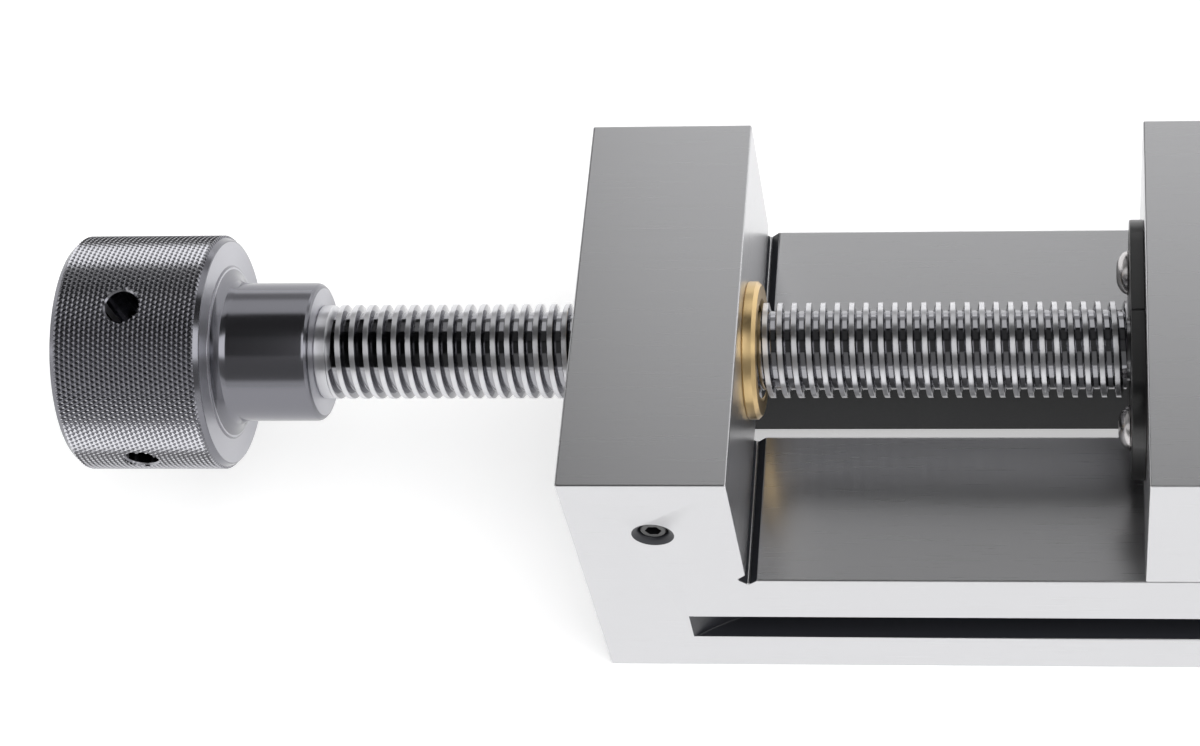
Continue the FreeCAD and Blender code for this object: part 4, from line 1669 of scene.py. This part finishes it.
@dataclass
class Studio:
    """The pale floor, the soft light and the camera at the photograph's angle."""

    camera_at: Triple = (-15.57, -307.58, 548.38)
    yaw: float = -9.599
    pitch: float = 57.91
    roll: float = -8.308
    focal_pixels: float = 2768.1
    centre_u: float = 828.0
    clip: Pair = (0.01, 50.0)
    floor_half: float = 6.0
    floor_squares: int = 8
    floor_colour: str = "#e7e7e7"
    floor_glow: float = 0.5
    low_band: Pair = (0.2, 0.13)
    room_colour: str = "#ffffff"
    lamp_at: Triple = (0.3, -0.5, 2.2)
    lamp_size: float = 2.4
    lamp_power: float = 22.0

    def camera(self) -> None:
        """Sets the camera from the pose fitted to the photograph."""
        yaw, pitch, roll = (math.radians(a) for a in (self.yaw, self.pitch, self.roll))
        level = math.cos(pitch)
        ahead = Vector((math.sin(yaw) * level, math.cos(yaw) * level, -math.sin(pitch)))
        right = ahead.cross(Vector((0, 0, 1))).normalized()
        up = right.cross(ahead)
        side = right * math.cos(roll) + up * math.sin(roll)
        top = up * math.cos(roll) - right * math.sin(roll)
        data = bpy.data.cameras.new("camera")
        data.sensor_width = SENSOR_WIDTH
        data.lens = self.focal_pixels / PHOTO_WIDTH * SENSOR_WIDTH
        data.shift_x = (PHOTO_WIDTH / 2 - self.centre_u) / PHOTO_WIDTH
        data.clip_start, data.clip_end = self.clip
        camera = bpy.data.objects.new("camera", data)
        bpy.context.scene.collection.objects.link(camera)
        turn = Matrix((side, top, -ahead)).transposed().to_4x4()
        camera.matrix_world = Matrix.Translation(Vector(self.camera_at) * MM) @ turn
        bpy.context.scene.camera = camera

    def floor(self) -> None:
        """A white floor that keeps the vise's shadow."""
        shape = bmesh.new()
        count = self.floor_squares
        bmesh.ops.create_grid(shape, x_segments=count, y_segments=count, size=self.floor_half / MM)
        floor = from_bmesh("floor", shape)
        material = bpy.data.materials.new("white_paper_floor")
        material.use_nodes = True
        tree = material.node_tree
        tree.nodes.clear()
        rays = add_node(tree, "ShaderNodeLightPath").outputs
        seen = rays["Is Camera Ray"]
        for other in ("Is Glossy Ray", "Is Transmission Ray"):
            step = add_node(
                tree, "ShaderNodeMath", {"operation": "MAXIMUM"}, links={0: seen, 1: rays[other]}
            )
            seen = step.outputs[0]
        strength = add_node(
            tree, "ShaderNodeMath", {"operation": "MULTIPLY"}, {1: self.floor_glow}, {0: seen}
        )
        paper = add_node(tree, "ShaderNodeBsdfDiffuse", values={"Color": linear(self.floor_colour)})
        glow = add_node(tree, "ShaderNodeEmission", links={"Strength": strength.outputs[0]})
        both = add_node(
            tree, "ShaderNodeAddShader", links={0: paper.outputs[0], 1: glow.outputs[0]}
        )
        add_node(tree, "ShaderNodeOutputMaterial", links={"Surface": both.outputs[0]})
        floor.data.materials.append(material)

    def room(self) -> None:
        """A dim grey room whose walls, window and lamps show in the polished metal."""
        world = bpy.data.worlds.new("studio_room")
        world.use_nodes = True
        bpy.context.scene.world = world
        tree = world.node_tree
        tree.nodes.clear()
        way = add_node(tree, "ShaderNodeTexCoord")
        parts = add_node(
            tree, "ShaderNodeSeparateXYZ", links={"Vector": way.outputs["Generated"]}
        ).outputs
        turn = add_node(
            tree, "ShaderNodeMath", {"operation": "ARCTAN2"}, links={0: parts["Z"], 1: parts["Y"]}
        )
        band = add_node(
            tree,
            "ShaderNodeMapRange",
            {"interpolation_type": "SMOOTHSTEP"},
            {"From Min": self.low_band[0], "From Max": self.low_band[1]},
            {"Value": parts["Z"]},
        )
        level = band.outputs[0]
        for patch in self.patches():
            share = self.patch_share(tree, patch, turn.outputs[0], parts["X"])
            total = add_node(
                tree,
                "ShaderNodeMath",
                {"operation": "MULTIPLY_ADD"},
                {1: patch.level},
                {0: share, 2: level},
            )
            level = total.outputs[0]
        glow = add_node(
            tree,
            "ShaderNodeBackground",
            values={"Color": linear(self.room_colour)},
            links={"Strength": level},
        )
        add_node(tree, "ShaderNodeOutputWorld", links={"Surface": glow.outputs[0]})

    @staticmethod
    def patch_share(
        tree: bpy.types.NodeTree,
        patch: Patch,
        angle: bpy.types.NodeSocket,
        side: bpy.types.NodeSocket,
    ) -> bpy.types.NodeSocket:
        """How much of a patch is seen in a direction, with soft edges.

        Args:
            tree: The room's node tree.
            patch: The patch.
            angle: The direction's angle from the level back over the top.
            side: The direction's part along X.

        Returns:
            The share's socket, 0 outside the patch and 1 inside it.
        """
        share = None
        for value, edges in zip((angle, side), patch.edges()):
            for start, end in edges:
                step = add_node(
                    tree,
                    "ShaderNodeMapRange",
                    {"interpolation_type": "SMOOTHSTEP"},
                    {"From Min": start, "From Max": end},
                    {"Value": value},
                )
                if share is not None:
                    links = {0: share, 1: step.outputs[0]}
                    step = add_node(tree, "ShaderNodeMath", {"operation": "MULTIPLY"}, links=links)
                share = step.outputs[0]
        return share

    @staticmethod
    def patches() -> list[Patch]:
        """The parts of the room that give the metal its lights and darks.

        Returns:
            The patches. The white low band lies below them.
        """
        return [
            Patch("rear wall, low", (-5, 27), (-0.21, 1.1), 0.5),
            Patch("rear wall, behind the block", (27, 60.5), (-0.22, -0.11), 1.05),
            Patch("rear wall, behind the bay", (27, 56.5), (-0.11, 1.1), 1.08),
            Patch("ceiling", (63, 93), (-0.21, 1.1), 0.07),
            Patch("overhead panel", (96, 126), (-0.2, 0.1), 0.08),
            Patch("window", (128, 172), (-0.21, 1.1), 0.26),
            Patch("right lamp", (93, 131), (0.13, 1.1), 2.3),
            Patch("left rear", (-5, 60), (-1.1, -0.5), 0.42),
            Patch("left front", (60, 175), (-1.1, -0.5), 0.25),
            Patch("left lamp", (93, 131), (-1.1, -0.5), 0.6),
        ]

    def lamp(self) -> None:
        """A broad lamp that gives the floor its light and the vise its soft shadow."""
        data = bpy.data.lights.new("floor_lamp", "AREA")
        data.shape = "DISK"
        data.size = self.lamp_size
        data.energy = self.lamp_power
        lamp = bpy.data.objects.new("floor_lamp", data)
        bpy.context.scene.collection.objects.link(lamp)
        lamp.location = self.lamp_at
        lamp.rotation_euler = (-lamp.location).to_track_quat("-Z", "Y").to_euler()
        lamp.visible_glossy = False

    def build(self) -> None:
        """Sets the stage."""
        bpy.context.scene.view_settings.view_transform = "Standard"
        self.camera()
        self.floor()
        self.room()
        self.lamp()


def corners(box: Iterable[Vector]) -> list[list[float]]:
    """A box's two corners as plain lists."""
    return [[float(value) for value in corner] for corner in box]


def main() -> None:
    """Builds the vise and the studio."""
    logging.basicConfig(level=logging.INFO, format="%(name)s %(message)s")
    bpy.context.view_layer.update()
    for assembly in (ViseFrame(), JawCarriage(), ScrewAndKnob()):
        made = assembly.build()
        LOG.info("%s: %d pieces", type(assembly).__name__, len(made))
    Studio().build()


if __name__ == "__main__":
    main()
